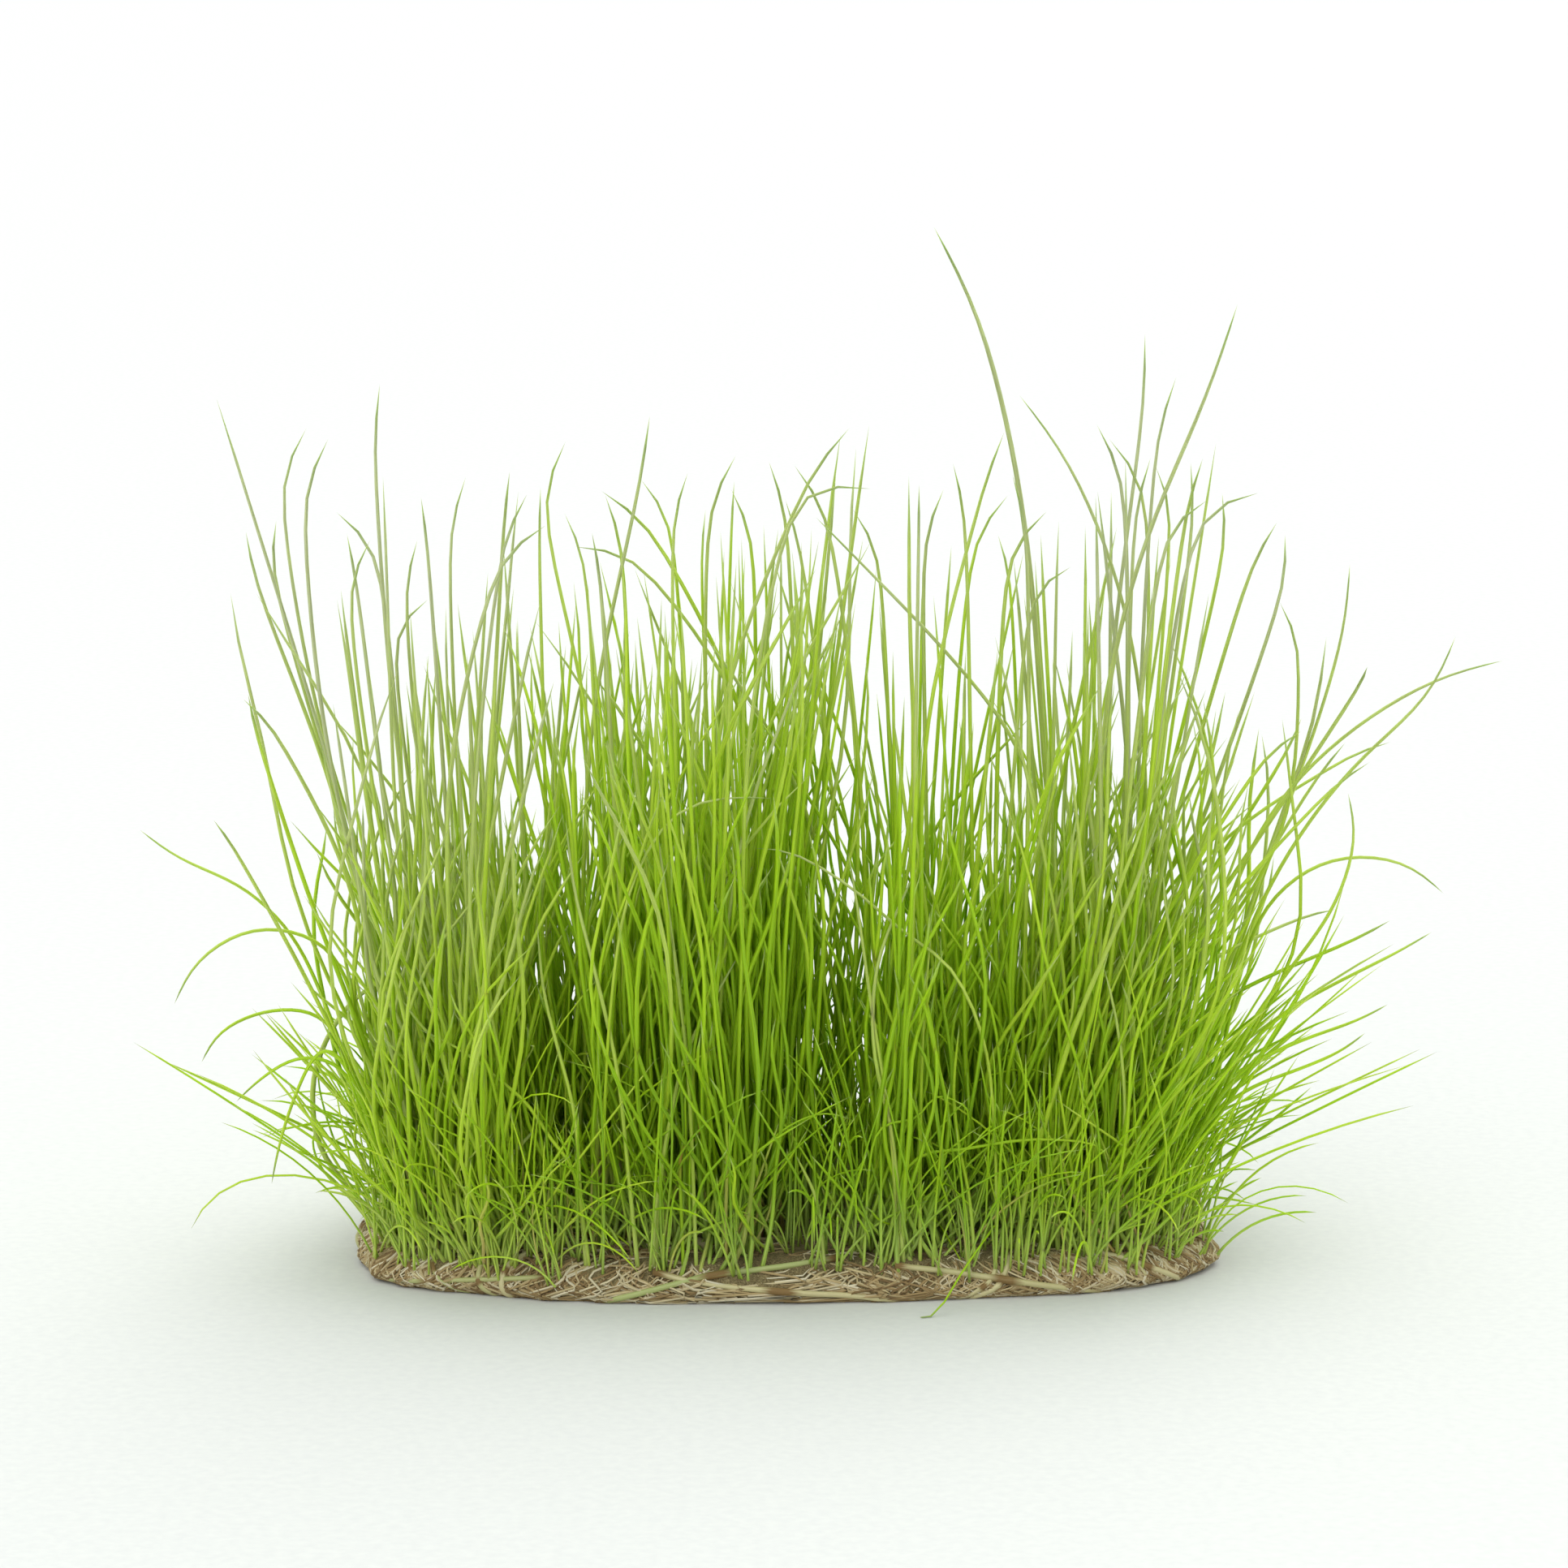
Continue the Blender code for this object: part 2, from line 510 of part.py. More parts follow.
def grow_side_stem(shoot, growth, sector, chance):
    """A side stem lies out from its side of the crown, then rises, and is tried again until it is clear."""
    foot = np.array((shoot.x, shoot.y, MAT_HEIGHT + GAP))
    outwards = shoot.sector_direction(sector)
    root_reach = 0.5 * (CROWN_RADIUS + CROWN_FOOT_RADIUS) * math.cos(math.pi / shoot.stem_count)
    root = foot + outwards * root_reach + (0.0, 0.0, 0.5 * CROWN_RIM_HEIGHT)
    for _ in range(STEM_TRIES):
        out = chance.uniform(*side_stem_span(shoot, outwards))
        rise = chance.uniform(*SIDE_STEM_RISE)
        turn = chance.gauss(0.0, SIDE_STEM_TURN)
        aside = np.array((-outwards[1], outwards[0], 0.0))
        turned = math.cos(turn) * outwards + math.sin(turn) * aside
        knee_rise = SIDE_STEM_KNEE_RISE[0] + SIDE_STEM_KNEE_RISE[1] * rise
        knee = foot + outwards * out * SIDE_STEM_KNEE + (0.0, 0.0, knee_rise)
        tip = knee + turned * out * (1.0 - SIDE_STEM_KNEE) + (0.0, 0.0, rise - knee_rise)
        if shoot.try_side_stem(growth, sector, np.array((root, knee, tip))):
            return True
    return False


def ring_corners(centre, along, facing, radius, sides):
    """The corners of a stem's cross-section, from the one on the facing side, counter-clockwise."""
    along = along / np.linalg.norm(along)
    first = facing - np.dot(facing, along) * along
    first /= np.linalg.norm(first)
    second = np.cross(along, first)
    angles = [math.tau * corner / sides for corner in range(sides)]
    return [centre + radius * (math.cos(a) * first + math.sin(a) * second) for a in angles]


def extrude_stem(mesh, face, line, radii, facing, foot):
    """Draw a face out along the line without a twist, and bring it to a point at the tip."""
    for number in range(1, len(line) - 1):
        along = line[number + 1] - line[number - 1]
        centre = line[number] - foot
        face = bmesh.ops.extrude_discrete_faces(mesh, faces=[face])["faces"][0]
        corners = ring_corners(centre, along, facing, radii[number], len(face.verts))
        for vertex, corner in zip(face.verts, corners):
            vertex.co = corner
        facing = corners[0] - centre
    tip = bmesh.ops.poke(mesh, faces=[face])["verts"][0]
    tip.co = line[-1] - foot


def make_shoot(shoot):
    """A crown like a low knob, with stems drawn out of its top and low ones out of its sides."""
    foot = np.array((shoot.x, shoot.y, MAT_HEIGHT + GAP))
    mesh = bmesh.new()
    angles = [shoot.turn + math.tau * corner / shoot.stem_count for corner in range(shoot.stem_count)]
    lower = [mesh.verts.new((CROWN_FOOT_RADIUS * math.cos(a), CROWN_FOOT_RADIUS * math.sin(a), 0.0))
             for a in angles]
    upper = [mesh.verts.new((CROWN_RADIUS * math.cos(a), CROWN_RADIUS * math.sin(a), CROWN_RIM_HEIGHT))
             for a in angles]
    middle = mesh.verts.new((0.0, 0.0, CROWN_TOP_HEIGHT))
    mesh.faces.new(reversed(lower))
    sectors = []
    sides = []
    for corner in range(shoot.stem_count):
        following = (corner + 1) % shoot.stem_count
        sides.append(mesh.faces.new((lower[corner], lower[following], upper[following], upper[corner])))
        sectors.append(mesh.faces.new((middle, upper[corner], upper[following])))
    for sector, line in sorted(shoot.stems.items()):
        radii = radii_along(line, STEM_TAPER, STEM_ROOT_RADIUS)
        extrude_stem(mesh, sectors[sector], line, radii, -shoot.sector_direction(sector), foot)
    for sector, line in sorted(shoot.side_stems.items()):
        facing = np.array(lower[sector].co) + foot - line[0]
        extrude_stem(mesh, sides[sector], line, SIDE_STEM_RADII, facing, foot)
    colour = STEM_COLOURS[shoot.number % len(STEM_COLOURS)]
    finish_object(f"shoot_{shoot.number + 1:02d}", mesh, foot, colour, STEM_ROUGHNESS)


def clear_foot(place, taken):
    """The nearest place to this one on the mat that is clear of the feet already taken."""
    for attempt in range(FOOT_TRIES):
        reach = FOOT_STEP * math.sqrt(attempt)
        angle = attempt * GOLDEN_ANGLE
        tried = (place[0] + reach * math.cos(angle), place[1] + reach * math.sin(angle))
        if all(math.dist(tried, other) > FOOT_SPACING for other in taken):
            return tried
    raise ValueError(f"no clear foot near {place}")


def grow_lone_stem(number, name, place, seen_points, growth):
    """A stem that reaches out alone keeps its seen course, and its depth is changed until it is clear."""
    foot = np.array((*place, MAT_HEIGHT + GAP))
    for drift in drifts_to_try(LONE_STEM_DRIFT * foot[1]):
        line = smooth_line([foot, *seen_course(seen_points, foot[1], drift)], LONE_STEM_PARTS)
        radii = radii_along(line, LONE_STEM_TAPER, LONE_STEM_FOOT_RADIUS)
        if growth.room_for(number, line, radii) >= STEM_CLEARANCE:
            growth.add(number, line, radii, 0)
            return line
    raise ValueError(f"{name} finds no room")


def make_lone_stem(name, line):
    """A stem with a foot of its own on the mat, drawn out along its line to a point."""
    foot = line[0]
    radii = radii_along(line, LONE_STEM_TAPER, LONE_STEM_FOOT_RADIUS)
    mesh = bmesh.new()
    lean = line[-1] - foot
    inwards = -np.array((lean[0], lean[1], 0.0))
    level = np.array((0.0, 0.0, 1.0))
    corners = ring_corners(np.zeros(3), level, inwards, LONE_STEM_FOOT_RADIUS, LONE_STEM_SIDES)
    bottom = [mesh.verts.new(corner) for corner in corners]
    face = mesh.faces.new(bottom)
    underside = mesh.faces.new([mesh.verts.new(corner) for corner in reversed(corners)])
    extrude_stem(mesh, face, line, radii, inwards, foot)
    bmesh.ops.remove_doubles(mesh, verts=bottom + list(underside.verts), dist=WELD)
    finish_object(name, mesh, foot, LONE_STEM_COLOUR, STEM_ROUGHNESS)


def grow_everything():
    """Place the crowns, then the stems that are seen alone, the long ones and the rest."""
    chance = random.Random(GROWTH_SEED)
    growth = Growth()
    shoots = []
    for number, place in enumerate(crown_places()):
        shoots.append(Shoot(number, place, chance.randint(FEWEST_STEMS, MOST_STEMS)))
        crown = np.array(((*place, MAT_HEIGHT + GAP), (*place, MAT_HEIGHT + GAP + CROWN_TOP_HEIGHT)))
        growth.add(number, crown, np.array((CROWN_RADIUS, CROWN_RADIUS)), 1)
    lone_lines = []
    feet = [(shoot.x, shoot.y) for shoot in shoots]
    for number, (name, place, seen_points) in enumerate(LONE_STEMS, len(shoots)):
        feet.append(clear_foot(place, feet))
        lone_lines.append((name, grow_lone_stem(number, name, feet[-1], seen_points, growth)))
    for foot_x, seen_points in LONG_STEMS:
        for shoot in sorted(shoots, key=lambda each: abs(each.x - foot_x)):
            if len(shoot.stems) < MOST_LONG_STEMS_A_SHOOT and grow_long_stem(shoot, growth, seen_points):
                break
    for shoot in shoots:
        for sector in shoot.free_sectors_towards(np.array((shoot.x, shoot.y, 0.0))):
            grow_ordinary_stem(shoot, growth, sector, chance)
    for shoot in shoots:
        way, nearness = way_to_edge(shoot)
        wanted = SIDE_STEMS_AT_EDGE if nearness > EDGE_FROM else SIDE_STEMS_INSIDE
        for sector in shoot.sectors_towards(way)[:wanted]:
            grow_side_stem(shoot, growth, sector, chance)
    return shoots, lone_lines


def main():
    remove_everything()
    make_mat()
    shoots, lone_lines = grow_everything()
    for shoot in shoots:
        make_shoot(shoot)
    for name, line in lone_lines:
        make_lone_stem(name, line)


main()
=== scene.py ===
"""Dwarf hairgrass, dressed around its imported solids: every thread-thin stem, the runners and the roots.

Lengths are in millimetres until a mesh is finished, and MM turns them into metres. +Z is up, +X is to the
right and +Y goes away from the eye.
"""

import math
import random

import bpy
import numpy as np
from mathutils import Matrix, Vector
from mathutils import noise


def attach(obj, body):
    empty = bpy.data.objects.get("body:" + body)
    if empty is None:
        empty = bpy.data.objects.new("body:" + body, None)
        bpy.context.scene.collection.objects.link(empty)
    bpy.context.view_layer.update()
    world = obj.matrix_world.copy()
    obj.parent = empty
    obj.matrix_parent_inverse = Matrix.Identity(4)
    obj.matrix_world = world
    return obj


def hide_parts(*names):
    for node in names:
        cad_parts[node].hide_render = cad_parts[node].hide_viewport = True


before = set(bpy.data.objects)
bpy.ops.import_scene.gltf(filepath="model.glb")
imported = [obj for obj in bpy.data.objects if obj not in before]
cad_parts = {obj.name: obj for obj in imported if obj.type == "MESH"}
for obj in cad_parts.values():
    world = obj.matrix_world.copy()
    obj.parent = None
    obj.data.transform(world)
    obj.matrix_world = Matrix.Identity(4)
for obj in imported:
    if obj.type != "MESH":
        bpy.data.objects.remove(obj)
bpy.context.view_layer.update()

# The eye
# A long lens in front of the plant and ten degrees above it, as in the photograph, whose square frame is
# 154.6 mm wide at the middle of the tuft.
MM = 0.001
PHOTO_PIXELS = 1932
PIXEL_SIZE = 0.08
EYE_DISTANCE = 600.0
EYE_ELEVATION = math.radians(10.0)
AIM = Vector((0.48, 0.0, 46.7))
SENSOR_WIDTH = 36.0


def new_object(name, data):
    """A named object in the scene."""
    added = bpy.data.objects.new(name, data)
    bpy.context.scene.collection.objects.link(added)
    return added


eye = new_object("eye", bpy.data.cameras.new("eye"))
backwards = Vector((0.0, -math.cos(EYE_ELEVATION), math.sin(EYE_ELEVATION)))
eye_place = AIM + backwards * EYE_DISTANCE
eye.location = eye_place * MM
eye.rotation_euler = (math.radians(90.0) - EYE_ELEVATION, 0.0, 0.0)
eye.data.sensor_width = SENSOR_WIDTH
eye.data.lens = SENSOR_WIDTH * EYE_DISTANCE / (PHOTO_PIXELS * PIXEL_SIZE)
bpy.context.scene.camera = eye


# The pad of the mat
# The heart of the mat is a felt of old roots and dead sheaths, knitted by the plant itself and trimmed flat
# beneath. Hardly any of it shows between the runners, the roots and the feet of the stems.
PAD_HALF_WIDTH = 41.8
PAD_HALF_DEPTH = 22.8
PAD_SQUARENESS = 3.2
PAD_LOBES = ((3, 0.018, 0.4), (5, 0.016, 2.1), (8, 0.014, 1.2))
PAD_TOP = 3.8
# From the top over the rim to the underside: the share of the way to the edge, and the height
PAD_RIM = (
    (0.80, PAD_TOP), (0.87, 3.65), (0.92, 3.3), (0.955, 2.8), (0.98, 2.2),
    (0.995, 1.5), (1.0, 0.9), (0.99, 0.4), (0.965, 0.0),
)
WIDEST_LEVEL = 0.9
OUTSIDE_EDGE = 1.01
PAD_TOP_SHARES = (0.15, 0.3, 0.45, 0.6, 0.7)
PAD_UNDERSIDE_SHARES = (0.85, 0.6, 0.3)
PAD_POINTS = 260
FELT_LUMP = 0.75
FELT_LUMP_WIDTH = 2.6
FELT_LUMP_RISE = 0.5
LEAST_RIM_HEIGHT = 0.1
FELT_FIBRE_WIDTH = 0.35
FELT_RELIEF = 0.2
FELT_COLOURS = ((0.34, "#55492B"), (0.62, "#8F8057"), (0.8, "#B9AD86"))
# The cut root ends: how far apart, their share of that, and the heights where they fade and are plain
CUT_ROOT_SPACING = 0.9
CUT_ROOT_SHARES = (0.36, 0.24)
CUT_ROOT_HEIGHTS = (0.06, 0.02)
CUT_ROOT_PALE = "#D8CFAE"


def linear(hex_code):
    """The linear RGBA colour of an sRGB hex code."""
    channels = [int(hex_code[place:place + 2], 16) / 255.0 for place in (1, 3, 5)]
    return [c / 12.92 if c <= 0.04045 else ((c + 0.055) / 1.055) ** 2.4 for c in channels] + [1.0]


def add_node(tree, kind, settings, links=(), stops=()):
    """Add a shader node with its settings, what is linked to its inputs, and the stops of its colour ramp."""
    node = tree.nodes.new(kind)
    for name, value in settings.items():
        if isinstance(name, str) and hasattr(node, name):
            setattr(node, name, value)
        else:
            node.inputs[name].default_value = value
    for name, output in links:
        tree.links.new(output, node.inputs[name])
    for number, (place, hex_code) in enumerate(stops):
        ramp = node.color_ramp.elements
        stop = ramp[number] if number < len(ramp) else ramp.new(place)
        stop.position = place
        stop.color = linear(hex_code)
    return node


def new_material(name):
    """An empty node material: its tree and its Principled shader."""
    material = bpy.data.materials.new(name)
    material.use_nodes = True
    return material, material.node_tree, material.node_tree.nodes["Principled BSDF"]


def lobes_at(angle):
    """How much further than usual the lobed edge reaches at this angle."""
    return 1.0 + sum(size * np.cos(count * angle + shift) for count, size, shift in PAD_LOBES)


def pad_place(angle, share, height):
    """The place at this share of the way to the mat's edge, in the direction of this angle."""
    power = 2.0 / PAD_SQUARENESS
    across = math.copysign(abs(math.cos(angle)) ** power, math.cos(angle))
    deep = math.copysign(abs(math.sin(angle)) ** power, math.sin(angle))
    reach = share * lobes_at(angle)
    return Vector((PAD_HALF_WIDTH * reach * across, PAD_HALF_DEPTH * reach * deep, height))


def edge_share(x, y):
    """The share of the way from the middle to the mat's edge at this place, 1 on the edge."""
    across = np.sign(x) * np.abs(np.asarray(x) / PAD_HALF_WIDTH) ** (PAD_SQUARENESS / 2.0)
    deep = np.sign(y) * np.abs(np.asarray(y) / PAD_HALF_DEPTH) ** (PAD_SQUARENESS / 2.0)
    return np.hypot(across, deep) ** (2.0 / PAD_SQUARENESS) / lobes_at(np.arctan2(deep, across))


def pad_level(x, y):
    """The height of the mat's surface here, and 0 outside its edge."""
    shares, heights = zip(*[(share, height) for share, height in PAD_RIM if height >= WIDEST_LEVEL])
    return np.interp(edge_share(x, y), (*shares, OUTSIDE_EDGE), (*heights, 0.0))


def root_felt():
    """Felted roots: matt and fibrous, humus brown with pale dead ends, and with cut root ends beneath."""
    material, tree, shader = new_material("root_felt")
    place = add_node(tree, "ShaderNodeTexCoord", {})
    fibres = add_node(
        tree, "ShaderNodeTexNoise",
        {"Scale": 1.0 / (FELT_FIBRE_WIDTH * MM), "Detail": 3.0, "Distortion": 2.5},
        [("Vector", place.outputs["Object"])],
    )
    colour = add_node(tree, "ShaderNodeValToRGB", {}, [("Fac", fibres.outputs["Fac"])], FELT_COLOURS)
    cut_ends = add_node(
        tree, "ShaderNodeTexVoronoi", {"Scale": 1.0 / (CUT_ROOT_SPACING * MM), "Randomness": 1.0},
        [("Vector", place.outputs["Object"])],
    )
    round_end = add_node(
        tree, "ShaderNodeMapRange", {"From Min": CUT_ROOT_SHARES[0], "From Max": CUT_ROOT_SHARES[1]},
        [("Value", cut_ends.outputs["Distance"])],
    )
    height = add_node(tree, "ShaderNodeSeparateXYZ", {}, [("Vector", place.outputs["Object"])])
    beneath = add_node(
        tree, "ShaderNodeMapRange",
        {"From Min": CUT_ROOT_HEIGHTS[0] * MM, "From Max": CUT_ROOT_HEIGHTS[1] * MM},
        [("Value", height.outputs["Z"])],
    )
    shown = add_node(
        tree, "ShaderNodeMath", {"operation": "MULTIPLY"},
        [(0, round_end.outputs["Result"]), (1, beneath.outputs["Result"])],
    )
    cut_colour = add_node(
        tree, "ShaderNodeMix", {"data_type": "RGBA", 7: linear(CUT_ROOT_PALE)},
        [(0, shown.outputs["Value"]), (6, colour.outputs["Color"])],
    )
    bump = add_node(
        tree, "ShaderNodeBump", {"Strength": 0.9, "Distance": FELT_RELIEF * MM},
        [("Height", fibres.outputs["Fac"])],
    )
    tree.links.new(cut_colour.outputs[2], shader.inputs["Base Color"])
    tree.links.new(bump.outputs["Normal"], shader.inputs["Normal"])
    shader.inputs["Roughness"].default_value = 0.85
    return material


def make_pad():
    """The pad is turned from a profile around the lobed edge, lumpy but for its trimmed underside."""
    profile = [(share, PAD_TOP) for share in PAD_TOP_SHARES] + list(PAD_RIM)
    profile += [(share, 0.0) for share in PAD_UNDERSIDE_SHARES]
    points = [Vector((0.0, 0.0, PAD_TOP))]
    for share, height in profile:
        for number in range(PAD_POINTS):
            place = pad_place(math.tau * number / PAD_POINTS, share, height)
            if height > 0.0:
                lump = FELT_LUMP * noise.noise(place / FELT_LUMP_WIDTH)
                outwards = Vector((place.x, place.y, 0.0)).normalized()
                place += outwards * lump
                place.z = max(place.z + FELT_LUMP_RISE * lump, LEAST_RIM_HEIGHT)
            points.append(place)
    points.append(Vector((0.0, 0.0, 0.0)))
    last = len(points) - 1
    faces = []
    for number in range(PAD_POINTS):
        following = (number + 1) % PAD_POINTS
        faces.append((0, 1 + number, 1 + following))
        faces.append((last, last - PAD_POINTS + following, last - PAD_POINTS + number))
        for ring in range(len(profile) - 1):
            inner = 1 + ring * PAD_POINTS
            outer = inner + PAD_POINTS
            faces.append((inner + number, outer + number, outer + following, inner + following))
    mesh = bpy.data.meshes.new("root_pad")
    mesh.from_pydata([point * MM for point in points], [], faces)
    mesh.shade_smooth()
    mesh.materials.append(root_felt())
    return new_object("root_pad", mesh)


pad = make_pad()
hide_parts("runner_mat")
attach(pad, "root")


# The roots
# Fine wriggly roots, ivory when young and tan when old, that creep over the mat and down its rim and were cut
# off level with its underside.
ROOT_COUNT = 1600
ROOT_SIDES = 4
ROOT_POINTS = 10
ROOT_RADIUS = (0.07, 0.17)
ROOT_TAPER = ((0.0, 0.6), (0.2, 1.0), (1.0, 0.8))
ROOT_START = (0.0, 4.5)
ROOT_SWAY = 0.05
ROOT_WAVES = 1.5
ROOT_DRIFT = 0.09
ROOT_LIFT = (0.02, 0.55)
RIM_TURN = 0.5
CREEPING_ROOT_COUNT = 650
CREEPING_ROOT_LENGTH = (6.0, 16.0)
CREEPING_ROOT_BEND = 2.2
CREEPING_ROOT_WAVES = 2.0
CREEPING_ROOT_REACH = (0.1, 0.92)
CREEPING_ROOT_LEAST_POINTS = 4
CREEPING_ROOT_CLEARANCE = 0.1
UV_MARGIN = 0.04
UV_CAP = 0.02
# The coordinates of a thread's pattern: the step to the next thread's, and their run in a millimetre
GRAIN_STEP = 7.3
GRAIN_STRETCH = 0.12
BLOTCHES_A_MM = 0.36
STEEPEST_AWAY = 0.9
CURVE_STEPS = 10
EASING = 0.25
ROOT_COLOURS = ((0.0, "#7B6139"), (0.35, "#A98F5F"), (0.7, "#CDBB8C"), (1.0, "#E6DDBF"))


def travelled(line):
    """The distance from the start of a line to each of its points."""
    steps = np.linalg.norm(np.diff(line, axis=0), axis=1)
    return np.concatenate(([0.0], np.cumsum(steps)))


def smooth_curve(points, count):
    """This many points, evenly spaced, on a smooth curve through the given ones."""
    points = np.asarray(points, float)
    padded = np.vstack((2 * points[0] - points[1], points, 2 * points[-1] - points[-2]))
    share = np.linspace(0.0, 1.0, CURVE_STEPS, endpoint=False)[:, None]
    fine = []
    for before, start, end, after in zip(padded, padded[1:], padded[2:], padded[3:]):
        fine.append(0.5 * (
            2 * start
            + (end - before) * share
            + (2 * before - 5 * start + 4 * end - after) * share ** 2
            + (3 * start - before - 3 * end + after) * share ** 3
        ))
    fine = np.vstack(fine + [points[-1:]])
    along = travelled(fine)
    wanted = np.linspace(0.0, along[-1], count)
    return np.stack([np.interp(wanted, along, fine[:, axis]) for axis in range(3)], axis=1)


def eased(line, rounds):
    """The line with its corners eased, its foot and tip kept."""
    for _ in range(rounds):
        line[1:-1] += EASING * (line[:-2] - 2.0 * line[1:-1] + line[2:])
    return line


def tapered(count, radius, taper):
    """The radius at each of this many points of a thread."""
    return radius * np.interp(np.linspace(0.0, 1.0, count), *zip(*taper))


class Threads:
    """Round threads gathered into one mesh. Each has a cell of its own in the UV map."""

    def __init__(self, sides):
        self.sides = sides
        self.corners = []
        self.grain = []
        self.values = {"from_foot": [], "share": [], "tint": [], "age": []}
        self.faces = []
        self.face_uvs = []
        self.count = 0
        self.start = 0

    def add(self, line, radii, tint, age=0.0, cut=False):
        """Add one thread. It ends in a point, or in a flat cut. Its age may change along it."""
        line = np.asarray(line, float)
        rings = len(line) if cut else len(line) - 1
        along = travelled(line)
        tangents = np.gradient(line, axis=0)
        tangents /= np.linalg.norm(tangents, axis=1)[:, None]
        level = (0.0, 1.0, 0.0) if abs(tangents[0][1]) < STEEPEST_AWAY else (1.0, 0.0, 0.0)
        facing = np.cross(tangents[0], level)
        across = []
        for tangent in tangents[:rings]:
            facing = facing - np.dot(facing, tangent) * tangent
            facing /= np.linalg.norm(facing)
            across.append(facing)
        across = np.array(across)[:, None]
        over = np.cross(tangents[:rings], across[:, 0])[:, None]
        turns = math.tau * np.arange(self.sides) / self.sides
        cosines, sines = np.cos(turns), np.sin(turns)
        around = cosines[:, None] * across + sines[:, None] * over
        skin = line[:rings, None] + np.asarray(radii)[:rings, None, None] * around
        self.corners += [line[:1], skin.reshape(-1, 3), line[-1:]]
        rows = np.concatenate(([0], np.repeat(np.arange(rings), self.sides), [len(line) - 1]))
        self.grain.append(np.stack((
            GRAIN_STEP * self.count + np.concatenate(([0.0], np.tile(cosines, rings), [0.0])),
            np.concatenate(([0.0], np.tile(sines, rings), [0.0])),
            GRAIN_STRETCH * along[rows],
        ), axis=1))
        share = along / along[-1]
        self.values["from_foot"].append(along[rows])
        self.values["share"].append(share[rows])
        self.values["tint"].append(np.full(len(rows), tint))
        self.values["age"].append(np.broadcast_to(age, len(line))[rows])
        self.add_faces(rings, share)
        self.start += len(rows)
        self.count += 1

    def add_faces(self, rings, share):
        """The faces of one thread, with each corner's place in the thread's own UV cell."""
        first = self.start + 1
        tip = first + rings * self.sides
        cell = self.count
        heights = UV_CAP + (1.0 - 2.0 * UV_CAP) * share[:rings]
        for side in range(self.sides):
            following = (side + 1) % self.sides
            left = side / self.sides
            right = (side + 1) / self.sides
            middle = (left + right) / 2.0
            self.faces.append((self.start, first + following, first + side))
            self.face_uvs.append(((cell, middle, 0.0), (cell, right, heights[0]), (cell, left, heights[0])))
            for ring in range(rings - 1):
                lower = first + ring * self.sides
                upper = lower + self.sides
                self.faces.append((lower + side, lower + following, upper + following, upper + side))
                self.face_uvs.append((
                    (cell, left, heights[ring]), (cell, right, heights[ring]),
                    (cell, right, heights[ring + 1]), (cell, left, heights[ring + 1]),
                ))
            last = first + (rings - 1) * self.sides
            self.faces.append((last + side, last + following, tip))
            self.face_uvs.append((
                (cell, left, heights[rings - 1]), (cell, right, heights[rings - 1]), (cell, middle, 1.0),
            ))

    def finish(self, name, material):
        """Turn the threads into a named object, with nothing below the level that the mat stands on."""
        corners = np.vstack(self.corners)
        corners[:, 2] = np.maximum(corners[:, 2], 0.0)
        mesh = bpy.data.meshes.new(name)
        mesh.from_pydata((corners * MM).tolist(), [], self.faces)
        for value, parts in self.values.items():
            mesh.attributes.new(value, "FLOAT", "POINT").data.foreach_set("value", np.concatenate(parts))
        grain = mesh.attributes.new("grain", "FLOAT_VECTOR", "POINT")
        grain.data.foreach_set("vector", np.vstack(self.grain).ravel())
        columns = math.ceil(math.sqrt(2.0 * self.count))
        rows = math.ceil(self.count / columns)
        cells = np.array([corner for face in self.face_uvs for corner in face])
        inner = UV_MARGIN + (1.0 - 2.0 * UV_MARGIN) * cells[:, 1:]
        column = cells[:, 0] % columns
        row = cells[:, 0] // columns
        uvs = np.stack(((column + inner[:, 0]) / columns, (row + inner[:, 1]) / rows), axis=1)
        mesh.uv_layers.new(name="OFBake").data.foreach_set("uv", uvs.ravel())
        mesh.shade_smooth()
        mesh.materials.append(material)
        return new_object(name, mesh)


def over_the_rim(angle, reach, lift):
    """The place this far from the mat's top (0) over its rim to its underside (8), and lifted off it."""
    numbers = range(len(PAD_RIM))
    shares, heights = zip(*PAD_RIM)
    place = pad_place(angle, np.interp(reach, numbers, shares), np.interp(reach, numbers, heights))
    lump = FELT_LUMP * noise.noise(place / FELT_LUMP_WIDTH)
    outwards = Vector((place.x, place.y, 0.0)).normalized()
    on_rim = np.clip(place.z / PAD_TOP, 0.0, 1.0)
    return place + outwards * (lump + lift * (1.0 - RIM_TURN * on_rim)) + Vector((0.0, 0.0, lift * on_rim))


def dry_root():
    """Fine root: a matt, slightly rough skin, ivory to tan, blotched brown along its length."""
    material, tree, shader = new_material("dry_root")
    tint = add_node(tree, "ShaderNodeAttribute", {"attribute_name": "tint"})
    grain = add_node(tree, "ShaderNodeAttribute", {"attribute_name": "grain"})
    blotches = add_node(
        tree, "ShaderNodeTexNoise", {"Scale": BLOTCHES_A_MM / GRAIN_STRETCH, "Detail": 3.0},
        [("Vector", grain.outputs["Vector"])],
    )
    colour = add_node(tree, "ShaderNodeValToRGB", {}, [("Fac", tint.outputs["Fac"])], ROOT_COLOURS)
    brightness = add_node(
        tree, "ShaderNodeMapRange", {"From Min": 0.3, "From Max": 0.7, "To Min": 0.6, "To Max": 1.1},
        [("Value", blotches.outputs["Fac"])],
    )
    blotched = add_node(
        tree, "ShaderNodeHueSaturation", {},
        [("Value", brightness.outputs["Result"]), ("Color", colour.outputs["Color"])],
    )
    tree.links.new(blotched.outputs["Color"], shader.inputs["Base Color"])
    shader.inputs["Roughness"].default_value = 0.75
    return material


